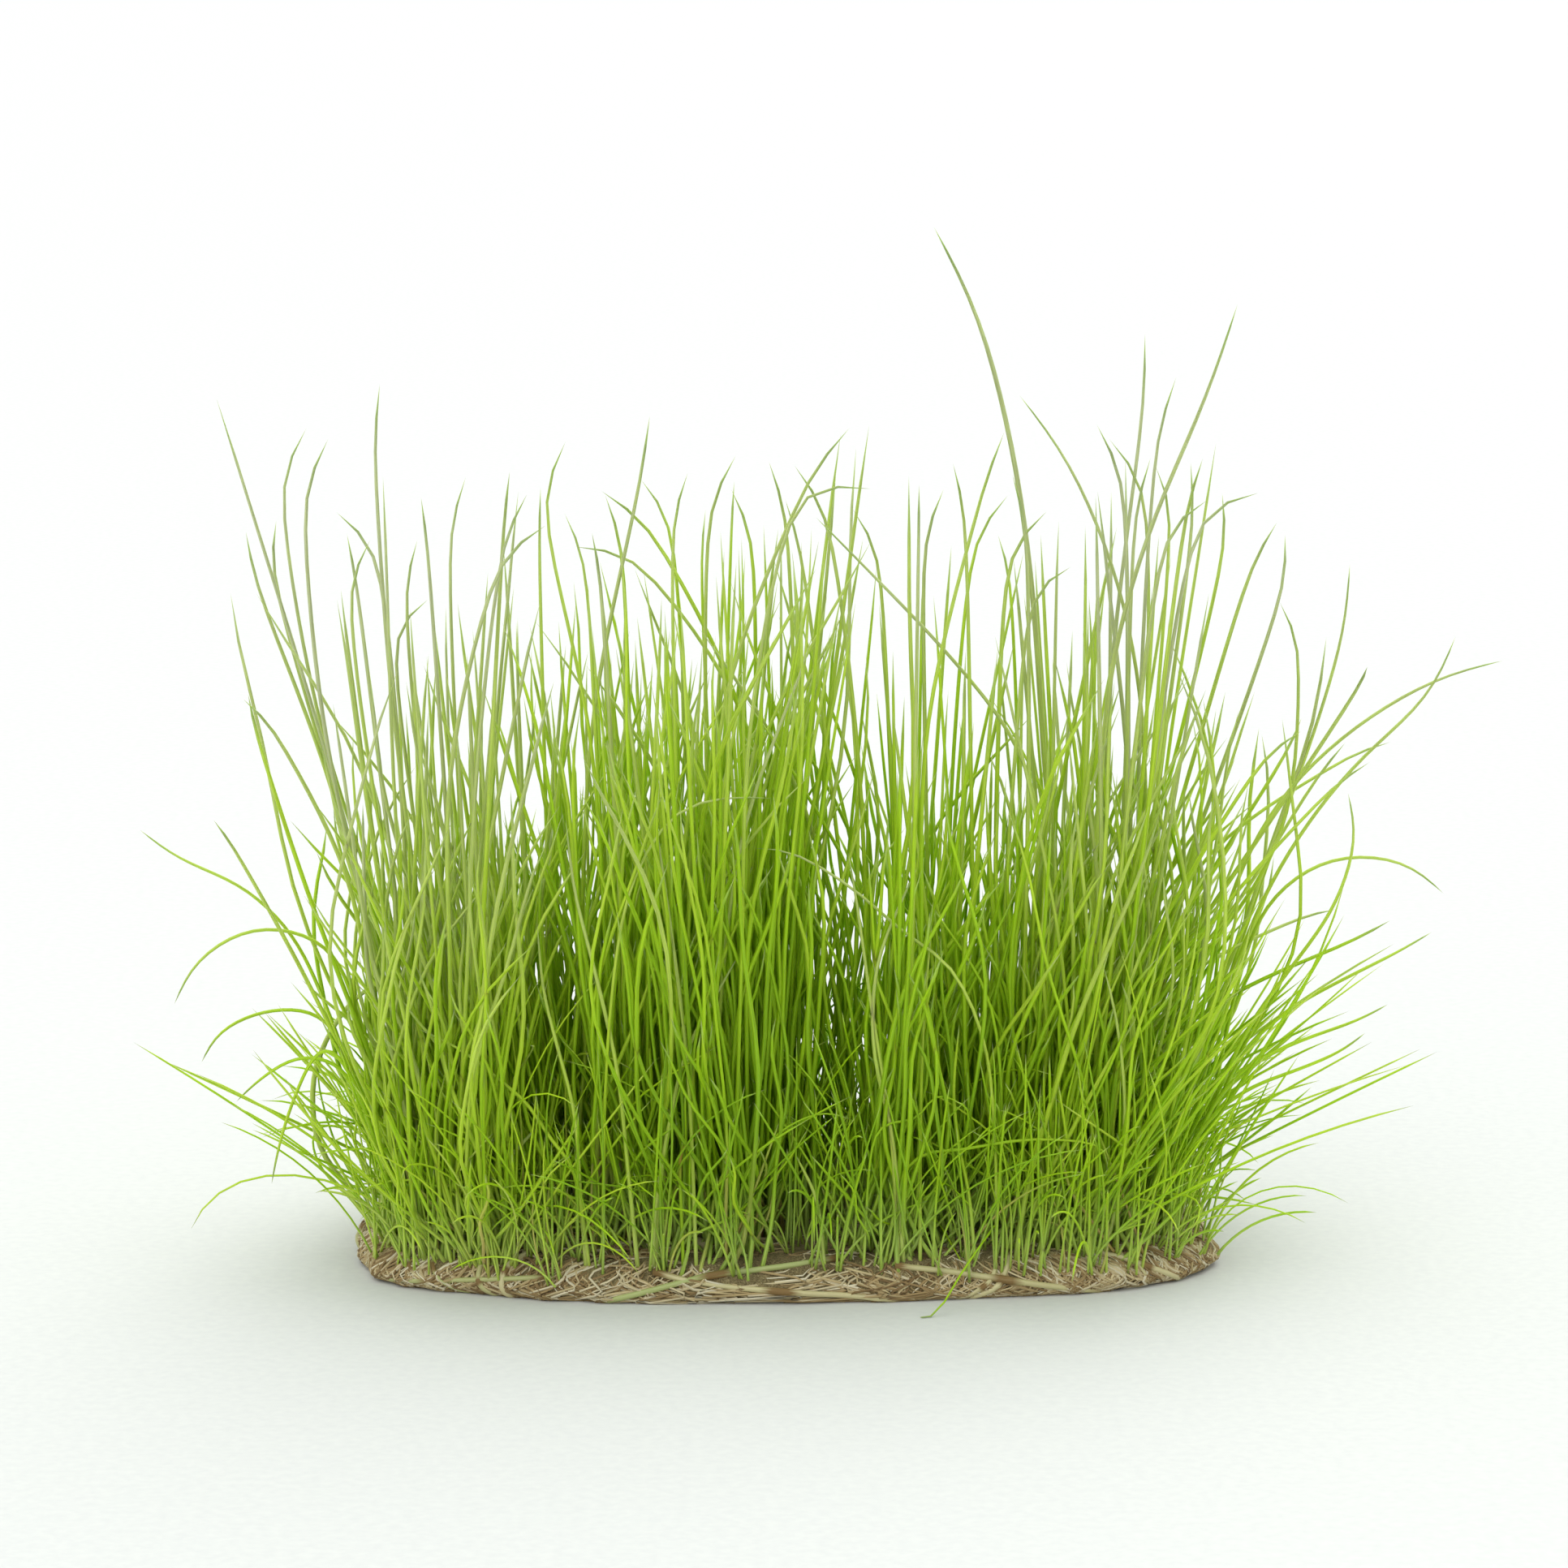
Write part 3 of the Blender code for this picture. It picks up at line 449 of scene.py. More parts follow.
chance = random.Random("roots")
roots = Threads(ROOT_SIDES)
for _ in range(ROOT_COUNT):
    angle = chance.uniform(0.0, math.tau)
    begin = chance.uniform(*ROOT_START)
    drift = chance.gauss(0.0, ROOT_DRIFT)
    phase = chance.uniform(0.0, math.tau)
    lift = chance.uniform(*ROOT_LIFT)
    line = []
    for share in np.linspace(0.0, 1.0, ROOT_POINTS):
        turn = angle + drift * share + ROOT_SWAY * share * math.sin(phase + math.tau * ROOT_WAVES * share)
        line.append(over_the_rim(turn, begin + (len(PAD_RIM) - 1 - begin) * share, lift * share))
    radii = tapered(ROOT_POINTS, chance.uniform(*ROOT_RADIUS), ROOT_TAPER)
    line[-1].z = 0.0
    roots.add(line, radii, chance.random(), cut=True)
for _ in range(CREEPING_ROOT_COUNT):
    place = pad_place(
        chance.uniform(0.0, math.tau), math.sqrt(chance.uniform(*CREEPING_ROOT_REACH)), 0.0,
    )
    shares = np.linspace(0.0, 1.0, ROOT_POINTS)
    heading = chance.uniform(0.0, math.tau) + chance.gauss(0.0, CREEPING_ROOT_BEND) * shares
    heading += np.sin(chance.uniform(0.0, math.tau) + CREEPING_ROOT_WAVES * math.tau * shares)
    step = chance.uniform(*CREEPING_ROOT_LENGTH) / ROOT_POINTS
    line = np.stack((
        place.x + np.cumsum(np.cos(heading)) * step,
        place.y + np.cumsum(np.sin(heading)) * step,
        np.zeros(ROOT_POINTS),
    ), axis=1)
    line = line[edge_share(line[:, 0], line[:, 1]) < 1.0]
    if len(line) >= CREEPING_ROOT_LEAST_POINTS:
        line[:, 2] = pad_level(line[:, 0], line[:, 1]) + CREEPING_ROOT_CLEARANCE
        roots.add(line, tapered(len(line), chance.uniform(*ROOT_RADIUS), ROOT_TAPER), chance.random())
roots = roots.finish("trimmed_roots", dry_root())
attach(roots, "root")


# The runners
# Pale creeping stems under a millimetre thick, jointed by brown scaly nodes. They link each crown to the
# next, and at the edge they run along the rim and were cut off with the roots.
RUNNER_SIDES = 8
RUNNER_POINTS = 18
RUNNER_RADIUS = 0.42
RUNNER_LEVEL = 3.95
RUNNER_SIDESTEP = 1.1
RUNNER_HUMP = 0.35
NODE_PLACES = (0.0, 0.5, 1.0)
NODE_WIDTH = 0.05
NODE_SWELLING = 0.45
RIM_RUNNERS = 34
RIM_RUNNER_START = (0.0, 4.0)
RIM_RUNNER_TURN = 0.34
RIM_RUNNER_POINTS = 7
RIM_RUNNER_RADIUS = (0.18, 0.32)
RIM_RUNNER_LIFT = 0.6
CROWN_LEVEL = 5.7
SAME_PLACE = 1e-6
RUNNER_STREAKS_A_MM = 0.3
RUNNER_RELIEF = 0.05
RUNNER_COLOURS = ((0.0, "#A5B06C"), (0.5, "#B9B27E"), (1.0, "#CFC497"))
NODE_BROWN = "#7D6236"


def weld(mesh):
    """A mesh's places in millimetres with those at one place made one, and each place's neighbours."""
    places = np.empty(len(mesh.vertices) * 3)
    mesh.vertices.foreach_get("co", places)
    places = places.reshape(-1, 3)
    _, first, same = np.unique(
        np.round(places / SAME_PLACE).astype(int), axis=0, return_index=True, return_inverse=True,
    )
    same = same.reshape(-1)
    neighbours = [set() for _ in first]
    for edge in mesh.edges:
        one, other = (int(same[number]) for number in edge.vertices)
        if one != other:
            neighbours[one].add(other)
            neighbours[other].add(one)
    return places[first] / MM, neighbours


def crown_of(places):
    """The middle of a shoot's crown, the knot that all its stems grow from."""
    return places[places[:, 2] < CROWN_LEVEL].mean(axis=0)


def runner_skin():
    """Runner: smooth pale green-ivory skin with a satin gloss, brown and dull at the scaly nodes."""
    material, tree, shader = new_material("runner_skin")
    tint = add_node(tree, "ShaderNodeAttribute", {"attribute_name": "tint"})
    age = add_node(tree, "ShaderNodeAttribute", {"attribute_name": "age"})
    grain = add_node(tree, "ShaderNodeAttribute", {"attribute_name": "grain"})
    streaks = add_node(
        tree, "ShaderNodeTexNoise", {"Scale": RUNNER_STREAKS_A_MM / GRAIN_STRETCH, "Detail": 4.0},
        [("Vector", grain.outputs["Vector"])],
    )
    colour = add_node(tree, "ShaderNodeValToRGB", {}, [("Fac", tint.outputs["Fac"])], RUNNER_COLOURS)
    scaly = add_node(
        tree, "ShaderNodeMath", {"operation": "MULTIPLY_ADD", 1: 1.1},
        [(0, age.outputs["Fac"]), (2, streaks.outputs["Fac"])],
    )
    brown = add_node(
        tree, "ShaderNodeMapRange", {"From Min": 0.6, "From Max": 1.2}, [("Value", scaly.outputs["Value"])],
    )
    knotted = add_node(
        tree, "ShaderNodeMix", {"data_type": "RGBA", 7: linear(NODE_BROWN)},
        [(0, brown.outputs["Result"]), (6, colour.outputs["Color"])],
    )
    gloss = add_node(
        tree, "ShaderNodeMapRange", {"To Min": 0.4, "To Max": 0.75}, [("Value", brown.outputs["Result"])],
    )
    bump = add_node(
        tree, "ShaderNodeBump", {"Strength": 0.5, "Distance": RUNNER_RELIEF * MM},
        [("Height", streaks.outputs["Fac"])],
    )
    tree.links.new(knotted.outputs[2], shader.inputs["Base Color"])
    tree.links.new(gloss.outputs["Result"], shader.inputs["Roughness"])
    tree.links.new(bump.outputs["Normal"], shader.inputs["Normal"])
    return material


def add_runner(runners, line, radius, chance):
    """One runner, swollen and brown at its nodes."""
    shares = np.linspace(0.0, 1.0, len(line))
    knots = sum(np.exp(-((shares - place) / NODE_WIDTH) ** 2) for place in NODE_PLACES)
    runners.add(line, radius * (1.0 + NODE_SWELLING * knots), chance.random(), age=knots, cut=True)


crowns = []
for node in sorted(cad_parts):
    if node.startswith("shoot_"):
        crowns.append(crown_of(weld(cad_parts[node].data)[0]))

chance = random.Random("runners")
runners = Threads(RUNNER_SIDES)
linked = crowns[:1]
unlinked = crowns[1:]
while unlinked:
    pairs = [(math.dist(a[:2], b[:2]), i, k) for i, a in enumerate(linked) for k, b in enumerate(unlinked)]
    _, nearest, chosen = min(pairs)
    start = np.array((*linked[nearest][:2], RUNNER_LEVEL))
    end = np.array((*unlinked[chosen][:2], RUNNER_LEVEL))
    sideways = np.array((chance.gauss(0.0, RUNNER_SIDESTEP), chance.gauss(0.0, RUNNER_SIDESTEP), RUNNER_HUMP))
    line = smooth_curve((start, (start + end) / 2.0 + sideways, end), RUNNER_POINTS)
    add_runner(runners, line, RUNNER_RADIUS, chance)
    linked.append(unlinked.pop(chosen))
for number in range(RIM_RUNNERS):
    angle = math.tau * (number + chance.random()) / RIM_RUNNERS
    begin = chance.uniform(*RIM_RUNNER_START)
    turn = chance.gauss(0.0, RIM_RUNNER_TURN)
    radius = chance.uniform(*RIM_RUNNER_RADIUS)
    line = []
    for share in np.linspace(0.0, 1.0, RIM_RUNNER_POINTS):
        reach = begin + (len(PAD_RIM) - 1 - begin) * share
        line.append(over_the_rim(angle + turn * share, reach, RIM_RUNNER_LIFT * radius))
    line = smooth_curve(line, RUNNER_POINTS)
    line[-1][2] = 0.0
    add_runner(runners, line, radius, chance)
runners = runners.finish("runners", runner_skin())
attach(runners, "root")


# The shoots
# A shoot is a knot of stems that rise together from one crown on a runner. Each stem is a single round
# green thread 0.35 to 0.5 mm thick, a little paler at the foot and drying to grey olive at the tip.
STEM_SIDES = 5
STEM_POINTS = 14
LONG_STEM_POINTS = 26
LONG_GUIDE_RINGS = 6
SIDE_GUIDE_RINGS = 3
EASING_ROUNDS = 5
GUIDE_POINTS = 60
COMPANIONS = 6
COMPANIONS_BESIDE_SIDE_STEM = 3
COMPANIONS_AT_LEFT_END = 2
DEEPEST = 37.0
STEM_TAPER = ((0.0, 1.25), (0.06, 1.1), (0.2, 1.0), (0.7, 0.94), (0.88, 0.8), (0.96, 0.6), (1.0, 0.3))
STEM_RADIUS = (0.175, 0.25)
LONG_STEM_RADIUS = (0.2, 0.25)
FOOT_SPREAD = 5.6
FURTHEST_FOOT = 0.96
FOOT_SINK = 0.2
LINE_CLEARANCE = 0.15
TIP_SPREAD_DEEP = 0.27
COMPANION_BOW = 0.075
# At the right end a few tips fan out further
RIGHT_FAN = 0.22
RIGHT_FAN_GATHERING = 3
RIGHT_FAN_RARITY = 2
GUIDE_TIP_POINTS = 3
FOOT_PULL = 1.5
TIP_PARTING = 1.4
WANDER = 0.45
WANDER_WAVES = 2.0
SHARES_BESIDE_LONG = (0.3, 0.62)
SHARES_BESIDE_SIDE_STEM = (0.5, 1.0)
SHORTEST_SHARE = 0.42
# How long the longest threads are beside an ordinary guide across the tuft, as (x, share of the guide)
LONGEST_ACROSS = (
    (-39.0, 0.76), (-33.0, 0.76), (-26.0, 0.6), (-21.0, 0.7), (-16.0, 1.0), (-8.0, 0.92), (-3.0, 1.1),
    (1.0, 0.84), (4.0, 0.62), (10.0, 0.68), (14.0, 0.84), (20.0, 0.6), (24.0, 0.7), (28.0, 0.9),
    (36.0, 0.76),
)
# How far to either side the tips part from their guides across the tuft, as (x, share of the length)
SPREAD_ACROSS = (
    (-39.0, 0.2), (-30.0, 0.25), (-9.0, 0.25), (-3.0, 0.13), (2.0, 0.13), (7.0, 0.2), (39.0, 0.25),
)
# How far to the right the tips drift across the tuft, as (x, share of the length)
DRIFT_ACROSS = (
    (-39.0, 0.05), (-30.0, 0.02), (-8.0, 0.015), (-3.0, -0.03), (1.0, -0.06), (5.0, -0.01), (9.0, 0.04),
    (14.0, 0.03), (39.0, 0.02),
)
# How pale the stems are across the tuft, as (x, tint)
TINT_ACROSS = ((-39.0, 0.45), (-28.0, 0.37), (-8.0, 0.1), (12.0, 0.13), (30.0, 0.29), (39.0, 0.4))
TINT_VARIATION = 0.11
PALEST_TINT = 0.62
AGED_SHARE = 0.1

YOUNG_STEMS = 6
YOUNG_STEMS_AT_FRONT = 6
FRONT_ROW = -5.0
YOUNG_POINTS = 11
YOUNG_RADIUS = (0.09, 0.14)
YOUNG_LENGTH = (12.0, 34.0)
YOUNG_LEAN = (0.1, 0.8)
YOUNG_BEND = 1.1
YOUNG_TWIST = 1.2

# At both ends of the tuft low stems lean out over the rim, most of them on the right
SKIRT_FROM = 0.6
SKIRT_STEMS_LEFT = 8
SKIRT_STEMS_RIGHT = 26
SKIRT_RADIUS = (0.11, 0.18)
SKIRT_LENGTH_LEFT = (9.0, 33.0)
SKIRT_LENGTH_RIGHT = (14.0, 42.0)
SKIRT_LEAN = (0.25, 1.05)
SKIRT_BEND = (-0.2, 0.35)
SKIRT_SIDESWAY = 0.45

# Where no crown stands, and at the rim, the runners send up sprouts: tufts of a few short thin fresh stems
RIM_SPROUTS = 115
TURF_SPROUTS = 110
TURF_EDGE = 0.93
TURF_CLEARANCE = 4.5
SPROUT_STEMS = (3, 7)
SPROUT_REACH = (0.4, 4.6)
SPROUT_GATHERING = 0.5
SPROUT_LENGTH = (7.0, 24.0)
SPROUT_LEAN = (0.0, 0.6)
SPROUT_BEND = (0.1, 0.8)
SPROUT_SIDESWAY = 0.9
SPROUT_PALENESS = -0.06

# Painted light: stems are painted paler and lighter the higher they reach above the foot, standing in for the
# glow of thin stems lit from behind. The ramp is also painted lighter at its middle stops and greyer, a
# little darker at its palest end, to even out the shade inside the tuft against the light on its top. Its
# lower stops are the stems' own greens.
STEM_TINTS_AND_PAINTED_LIGHT = (
    (0.0, "#80A616"), (0.3, "#9BBF16"), (0.46, "#A8C32E"), (0.6, "#AFC355"), (0.8, "#A8B46E"),
    (1.0, "#B0B58E"),
)
PAINTED_GLOW = 0.58
PAINTED_GLOW_HEIGHTS = (18.0, 68.0)
STEM_FOOT_COLOUR = "#C0CB84"
STEM_FOOT_HEIGHTS = (10.0, 0.5)
STEM_FOOT_PALENESS = 0.4
STRAW_COLOUR = "#B9A268"
STRAW_HEIGHTS = (18.0, 2.0)
STEM_TIP_COLOUR = "#84955C"
TIP_FROM = 0.89
STREAK_STRENGTH = 0.2
STEM_STREAKS_A_MM = 0.204
STEM_RELIEF = 0.03
LIGHT_DEPTH = 0.5


def walk(places, neighbours, start, until_level):
    """The middles of the rings met in turn from a start, up to the ring that lies below this level."""
    seen = set(start)
    ring = set(start)
    middles = [places[list(ring)].mean(axis=0)]
    while ring:
        ring = set().union(*(neighbours[number] for number in ring)) - seen
        if not ring:
            break
        seen |= ring
        middles.append(places[list(ring)].mean(axis=0))
        if middles[-1][2] < until_level:
            break
    return np.array(middles)


def shoot_guides(mesh):
    """The crown's middle, and the middle line of each solid stem from the crown to the tip."""
    places, neighbours = weld(mesh)
    crown = crown_of(places)
    reach = np.linalg.norm(places - crown, axis=1)
    guides = []
    for number, around in enumerate(neighbours):
        if places[number, 2] > CROWN_LEVEL and all(reach[other] < reach[number] for other in around):
            guides.append(walk(places, neighbours, {number}, CROWN_LEVEL)[::-1])
    return crown, guides


def stem_skin():
    """Living green stem: a satin waxy skin over wet tissue that lets light through, streaked lengthways, with
    painted light that makes it paler and lighter higher up.
    """
    material, tree, shader = new_material("stem_skin")
    values = {}
    for name in ("tint", "age", "share", "from_foot", "grain"):
        values[name] = add_node(tree, "ShaderNodeAttribute", {"attribute_name": name}).outputs
    streaks = add_node(
        tree, "ShaderNodeTexNoise",
        {"Scale": STEM_STREAKS_A_MM / GRAIN_STRETCH, "Detail": 3.0, "Roughness": 0.6},
        [("Vector", values["grain"]["Vector"])],
    )
    # Painted light: the stem is painted paler with height above the foot, for the glow of backlit upper
    # stems.
    painted_glow = add_node(
        tree, "ShaderNodeMapRange",
        {"From Min": PAINTED_GLOW_HEIGHTS[0], "From Max": PAINTED_GLOW_HEIGHTS[1], "To Max": PAINTED_GLOW},
        [("Value", values["from_foot"]["Fac"])],
    )
    tint_and_painted_glow = add_node(
        tree, "ShaderNodeMath", {"operation": "ADD"},
        [(0, painted_glow.outputs["Result"]), (1, values["tint"]["Fac"])],
    )
    green = add_node(tree, "ShaderNodeValToRGB", {}, [("Fac", tint_and_painted_glow.outputs["Value"])], STEM_TINTS_AND_PAINTED_LIGHT)
    foot = add_node(
        tree, "ShaderNodeMapRange",
        {"interpolation_type": "SMOOTHSTEP", "From Min": STEM_FOOT_HEIGHTS[0],
         "From Max": STEM_FOOT_HEIGHTS[1], "To Max": STEM_FOOT_PALENESS},
        [("Value", values["from_foot"]["Fac"])],
    )
    footed = add_node(
        tree, "ShaderNodeMix", {"data_type": "RGBA", 7: linear(STEM_FOOT_COLOUR)},
        [(0, foot.outputs["Result"]), (6, green.outputs["Color"])],
    )
    low = add_node(
        tree, "ShaderNodeMapRange",
        {"interpolation_type": "SMOOTHSTEP", "From Min": STRAW_HEIGHTS[0], "From Max": STRAW_HEIGHTS[1]},
        [("Value", values["from_foot"]["Fac"])],
    )
    straw = add_node(
        tree, "ShaderNodeMath", {"operation": "MULTIPLY"},
        [(0, low.outputs["Result"]), (1, values["age"]["Fac"])],
    )
    aged = add_node(
        tree, "ShaderNodeMix", {"data_type": "RGBA", 7: linear(STRAW_COLOUR)},
        [(0, straw.outputs["Value"]), (6, footed.outputs[2])],
    )
    tip = add_node(
        tree, "ShaderNodeMapRange",
        {"interpolation_type": "SMOOTHSTEP", "From Min": TIP_FROM, "From Max": 1.0},
        [("Value", values["share"]["Fac"])],
    )
    tipped = add_node(
        tree, "ShaderNodeMix", {"data_type": "RGBA", 7: linear(STEM_TIP_COLOUR)},
        [(0, tip.outputs["Result"]), (6, aged.outputs[2])],
    )
    brightness = add_node(
        tree, "ShaderNodeMapRange",
        {"From Min": 0.3, "From Max": 0.7, "To Min": 1.0 - STREAK_STRENGTH, "To Max": 1.0 + STREAK_STRENGTH},
        [("Value", streaks.outputs["Fac"])],
    )
    streaked = add_node(
        tree, "ShaderNodeHueSaturation", {},
        [("Value", brightness.outputs["Result"]), ("Color", tipped.outputs[2])],
    )
    gloss = add_node(
        tree, "ShaderNodeMapRange", {"From Min": 0.3, "From Max": 0.7, "To Min": 0.42, "To Max": 0.58},
        [("Value", streaks.outputs["Fac"])],
    )
    bump = add_node(
        tree, "ShaderNodeBump", {"Strength": 0.35, "Distance": STEM_RELIEF * MM},
        [("Height", streaks.outputs["Fac"])],
    )
    tree.links.new(streaked.outputs["Color"], shader.inputs["Base Color"])
    tree.links.new(gloss.outputs["Result"], shader.inputs["Roughness"])
    tree.links.new(bump.outputs["Normal"], shader.inputs["Normal"])
    shader.inputs["IOR"].default_value = 1.38
    shader.inputs["Specular IOR Level"].default_value = 0.4
    shader.inputs["Subsurface Weight"].default_value = 0.7
    shader.inputs["Subsurface Radius"].default_value = (0.8, 1.0, 0.3)
    shader.inputs["Subsurface Scale"].default_value = LIGHT_DEPTH * MM
    return material


def foot_near(crown, chance):
    """A foot on the mat near a crown, and not past the mat's rim."""
    turn = chance.uniform(0.0, math.tau)
    reach = FOOT_SPREAD * math.sqrt(chance.random())
    foot = np.array((crown[0] + reach * math.cos(turn), crown[1] + reach * math.sin(turn), 0.0))
    foot[:2] *= min(1.0, FURTHEST_FOOT / edge_share(foot[0], foot[1]))
    foot[2] = pad_level(foot[0], foot[1]) - FOOT_SINK
    return foot


def kept_above(line):
    """The line pulled in if it strays far in depth, and lifted clear of the mat and what the plant is on."""
    furthest = np.abs(line[:, 1]).max()
    if furthest > DEEPEST:
        foot_depth = line[0, 1]
        room = DEEPEST - abs(foot_depth)
        line[:, 1] = foot_depth + (line[:, 1] - foot_depth) * room / (furthest - abs(foot_depth))
    levels = pad_level(line[:, 0], line[:, 1]) + LINE_CLEARANCE
    levels[0] = line[0, 2]
    line[:, 2] = np.maximum(line[:, 2], levels)
    return line


def companion_line(guide, crown, share, chance):
    """A thread that has its own foot on the mat, rises beside a guide and parts from it towards the tip."""
    fine = eased(smooth_curve(guide, GUIDE_POINTS), EASING_ROUNDS)
    guide_length = travelled(fine)[-1]
    length = share * guide_length
    shares = np.linspace(0.0, 1.0, STEM_POINTS)
    reached = shares * share
    along = np.linspace(0.0, 1.0, GUIDE_POINTS)
    line = np.stack([np.interp(reached, along, fine[:, axis]) for axis in range(3)], axis=1)
    ahead = fine[-1] - fine[-1 - GUIDE_TIP_POINTS]
    line += np.outer(np.maximum(reached - 1.0, 0.0) * guide_length, ahead / np.linalg.norm(ahead))
    rightwards = max(crown[0] / PAD_HALF_WIDTH, 0.0)
    fan = RIGHT_FAN * rightwards ** RIGHT_FAN_GATHERING * chance.random() ** RIGHT_FAN_RARITY
    drift = float(np.interp(crown[0], *zip(*DRIFT_ACROSS)))
    spread = float(np.interp(crown[0], *zip(*SPREAD_ACROSS)))
    aside = length * np.array((
        chance.triangular(-spread, spread) + drift + fan,
        chance.triangular(-TIP_SPREAD_DEEP, TIP_SPREAD_DEEP), 0.0,
    ))
    bow = np.array((chance.gauss(0.0, COMPANION_BOW), chance.gauss(0.0, COMPANION_BOW), 0.0)) * length
    foot = foot_near(crown, chance)
    line += np.outer((1.0 - shares) ** FOOT_PULL, foot - line[0])
    line += np.outer(shares ** TIP_PARTING, aside) + np.outer(np.sin(math.pi * shares), bow)
    phase = chance.uniform(0.0, math.tau)
    sway = WANDER * shares * np.sin(phase + WANDER_WAVES * math.tau * shares)
    line[:, 0] += sway
    line[:, 1] += sway[::-1] * shares
    return kept_above(line)


def bent_line(foot, length, lean, bend, heading, twist):
    """A short stem that leans this far from upright, bends over and turns aside on its way up."""
    shares = np.linspace(0.0, 1.0, YOUNG_POINTS)
    lean = lean + bend * shares
    heading = heading + twist * shares
    steps = np.stack((np.sin(lean) * np.cos(heading), np.sin(lean) * np.sin(heading), np.cos(lean)), axis=1)
    steps *= length / (YOUNG_POINTS - 1)
    return kept_above(foot + np.cumsum(steps, axis=0) - steps[0])


def young_line(crown, chance):
    """A young stem leans anywhere and bends over in a wide curve."""
    return bent_line(
        foot_near(crown, chance), chance.uniform(*YOUNG_LENGTH), chance.uniform(*YOUNG_LEAN),
        chance.gauss(0.0, YOUNG_BEND), chance.uniform(0.0, math.tau), chance.gauss(0.0, YOUNG_TWIST),
    )


def skirt_line(crown, chance):
    """A low stem at the end of the tuft leans out, and most of them rise again towards the tip."""
    outwards, lengths = (0.0, SKIRT_LENGTH_RIGHT) if crown[0] > 0.0 else (math.pi, SKIRT_LENGTH_LEFT)
    return bent_line(
        foot_near(crown, chance), chance.uniform(*lengths), chance.uniform(*SKIRT_LEAN),
        chance.gauss(*SKIRT_BEND), outwards + chance.gauss(0.0, SKIRT_SIDESWAY), 0.0,
    )


def sprout_places():
    """Where the sprouts stand: all around the rim, and on the mat wherever it is clear of the crowns."""
    chance = random.Random("sprouts")
    places = []
    for number in range(RIM_SPROUTS):
        angle = math.tau * (number + chance.random()) / RIM_SPROUTS
        places.append(np.array(over_the_rim(angle, chance.uniform(*SPROUT_REACH), 0.0)))
    while len(places) < RIM_SPROUTS + TURF_SPROUTS:
        x = chance.uniform(-PAD_HALF_WIDTH, PAD_HALF_WIDTH)
        y = chance.uniform(-PAD_HALF_DEPTH, PAD_HALF_DEPTH)
        clear = min(math.dist((x, y), crown[:2]) for crown in crowns) > TURF_CLEARANCE
        if clear and edge_share(x, y) < TURF_EDGE:
            places.append(np.array((x, y, pad_level(x, y))))
    return places


def sprout_line(place, chance):
    """A short stem of a sprout leans out from the middle of the tuft and bends a little."""
    outwards = math.atan2(place[1], place[0] * PAD_HALF_DEPTH / PAD_HALF_WIDTH)
    foot = place + (chance.gauss(0.0, SPROUT_GATHERING), chance.gauss(0.0, SPROUT_GATHERING), 0.0)
    foot[2] = max(foot[2] - FOOT_SINK, 0.0)
    return bent_line(
        foot, chance.uniform(*SPROUT_LENGTH), chance.uniform(*SPROUT_LEAN), chance.gauss(*SPROUT_BEND),
        outwards + chance.gauss(0.0, SPROUT_SIDESWAY), 0.0,
    )


def make_shoot(node, sprouts, material):
    """Draw the threads that the solid stems of one shoot stand for, its young stems and its sprouts."""
    chance = random.Random(node)
    crown, guides = shoot_guides(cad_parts[node].data)
    usual_tint = float(np.interp(crown[0], *zip(*TINT_ACROSS)))
    longest = float(np.interp(crown[0], *zip(*LONGEST_ACROSS)))
    threads = Threads(STEM_SIDES)

    def add(line, radius, paler=0.0):
        tint = min(max(chance.gauss(usual_tint + paler, TINT_VARIATION), 0.0), PALEST_TINT)
        age = chance.random() if chance.random() < AGED_SHARE else 0.0
        threads.add(line, tapered(len(line), chance.uniform(*radius), STEM_TAPER), tint, age)

    for guide in guides:
        guide[0][2] = PAD_TOP - FOOT_SINK
        if len(guide) == SIDE_GUIDE_RINGS:
            points, radius = YOUNG_POINTS, SKIRT_RADIUS
            at_left_end = crown[0] < -SKIRT_FROM * PAD_HALF_WIDTH
            companions = COMPANIONS_AT_LEFT_END if at_left_end else COMPANIONS_BESIDE_SIDE_STEM
            shares = SHARES_BESIDE_SIDE_STEM
        elif len(guide) >= LONG_GUIDE_RINGS:
            points, radius = LONG_STEM_POINTS, LONG_STEM_RADIUS
            companions, shares = COMPANIONS, SHARES_BESIDE_LONG
        else:
            points, radius = STEM_POINTS, STEM_RADIUS
            companions, shares = COMPANIONS, (SHORTEST_SHARE, longest)
        add(smooth_curve(eased(smooth_curve(guide, GUIDE_POINTS), EASING_ROUNDS), points), radius)
        for _ in range(companions):
            share = shares[0] + (shares[1] - shares[0]) * chance.random()
            line = companion_line(guide, crown, share, chance)
            add(line, SKIRT_RADIUS if len(guide) == SIDE_GUIDE_RINGS else STEM_RADIUS)
    for _ in range(YOUNG_STEMS + (YOUNG_STEMS_AT_FRONT if crown[1] < FRONT_ROW else 0)):
        add(young_line(crown, chance), YOUNG_RADIUS)
    if abs(crown[0]) > SKIRT_FROM * PAD_HALF_WIDTH:
        for _ in range(SKIRT_STEMS_RIGHT if crown[0] > 0.0 else SKIRT_STEMS_LEFT):
            add(skirt_line(crown, chance), SKIRT_RADIUS)
    for place in sprouts:
        for _ in range(chance.randint(*SPROUT_STEMS)):
            add(sprout_line(place, chance), YOUNG_RADIUS, SPROUT_PALENESS)
    return threads.finish(node + "_threads", material)


living_stem = stem_skin()
sprouts = sprout_places()
owners = []
for place in sprouts:
    distances = [math.dist(place[:2], crown[:2]) for crown in crowns]
    owners.append(distances.index(min(distances)))
for number, node in enumerate(sorted(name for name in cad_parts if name.startswith("shoot_"))):
    own_sprouts = [place for place, owner in zip(sprouts, owners) if owner == number]
    shoot = make_shoot(node, own_sprouts, living_stem)
    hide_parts(node)
    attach(shoot, "root")


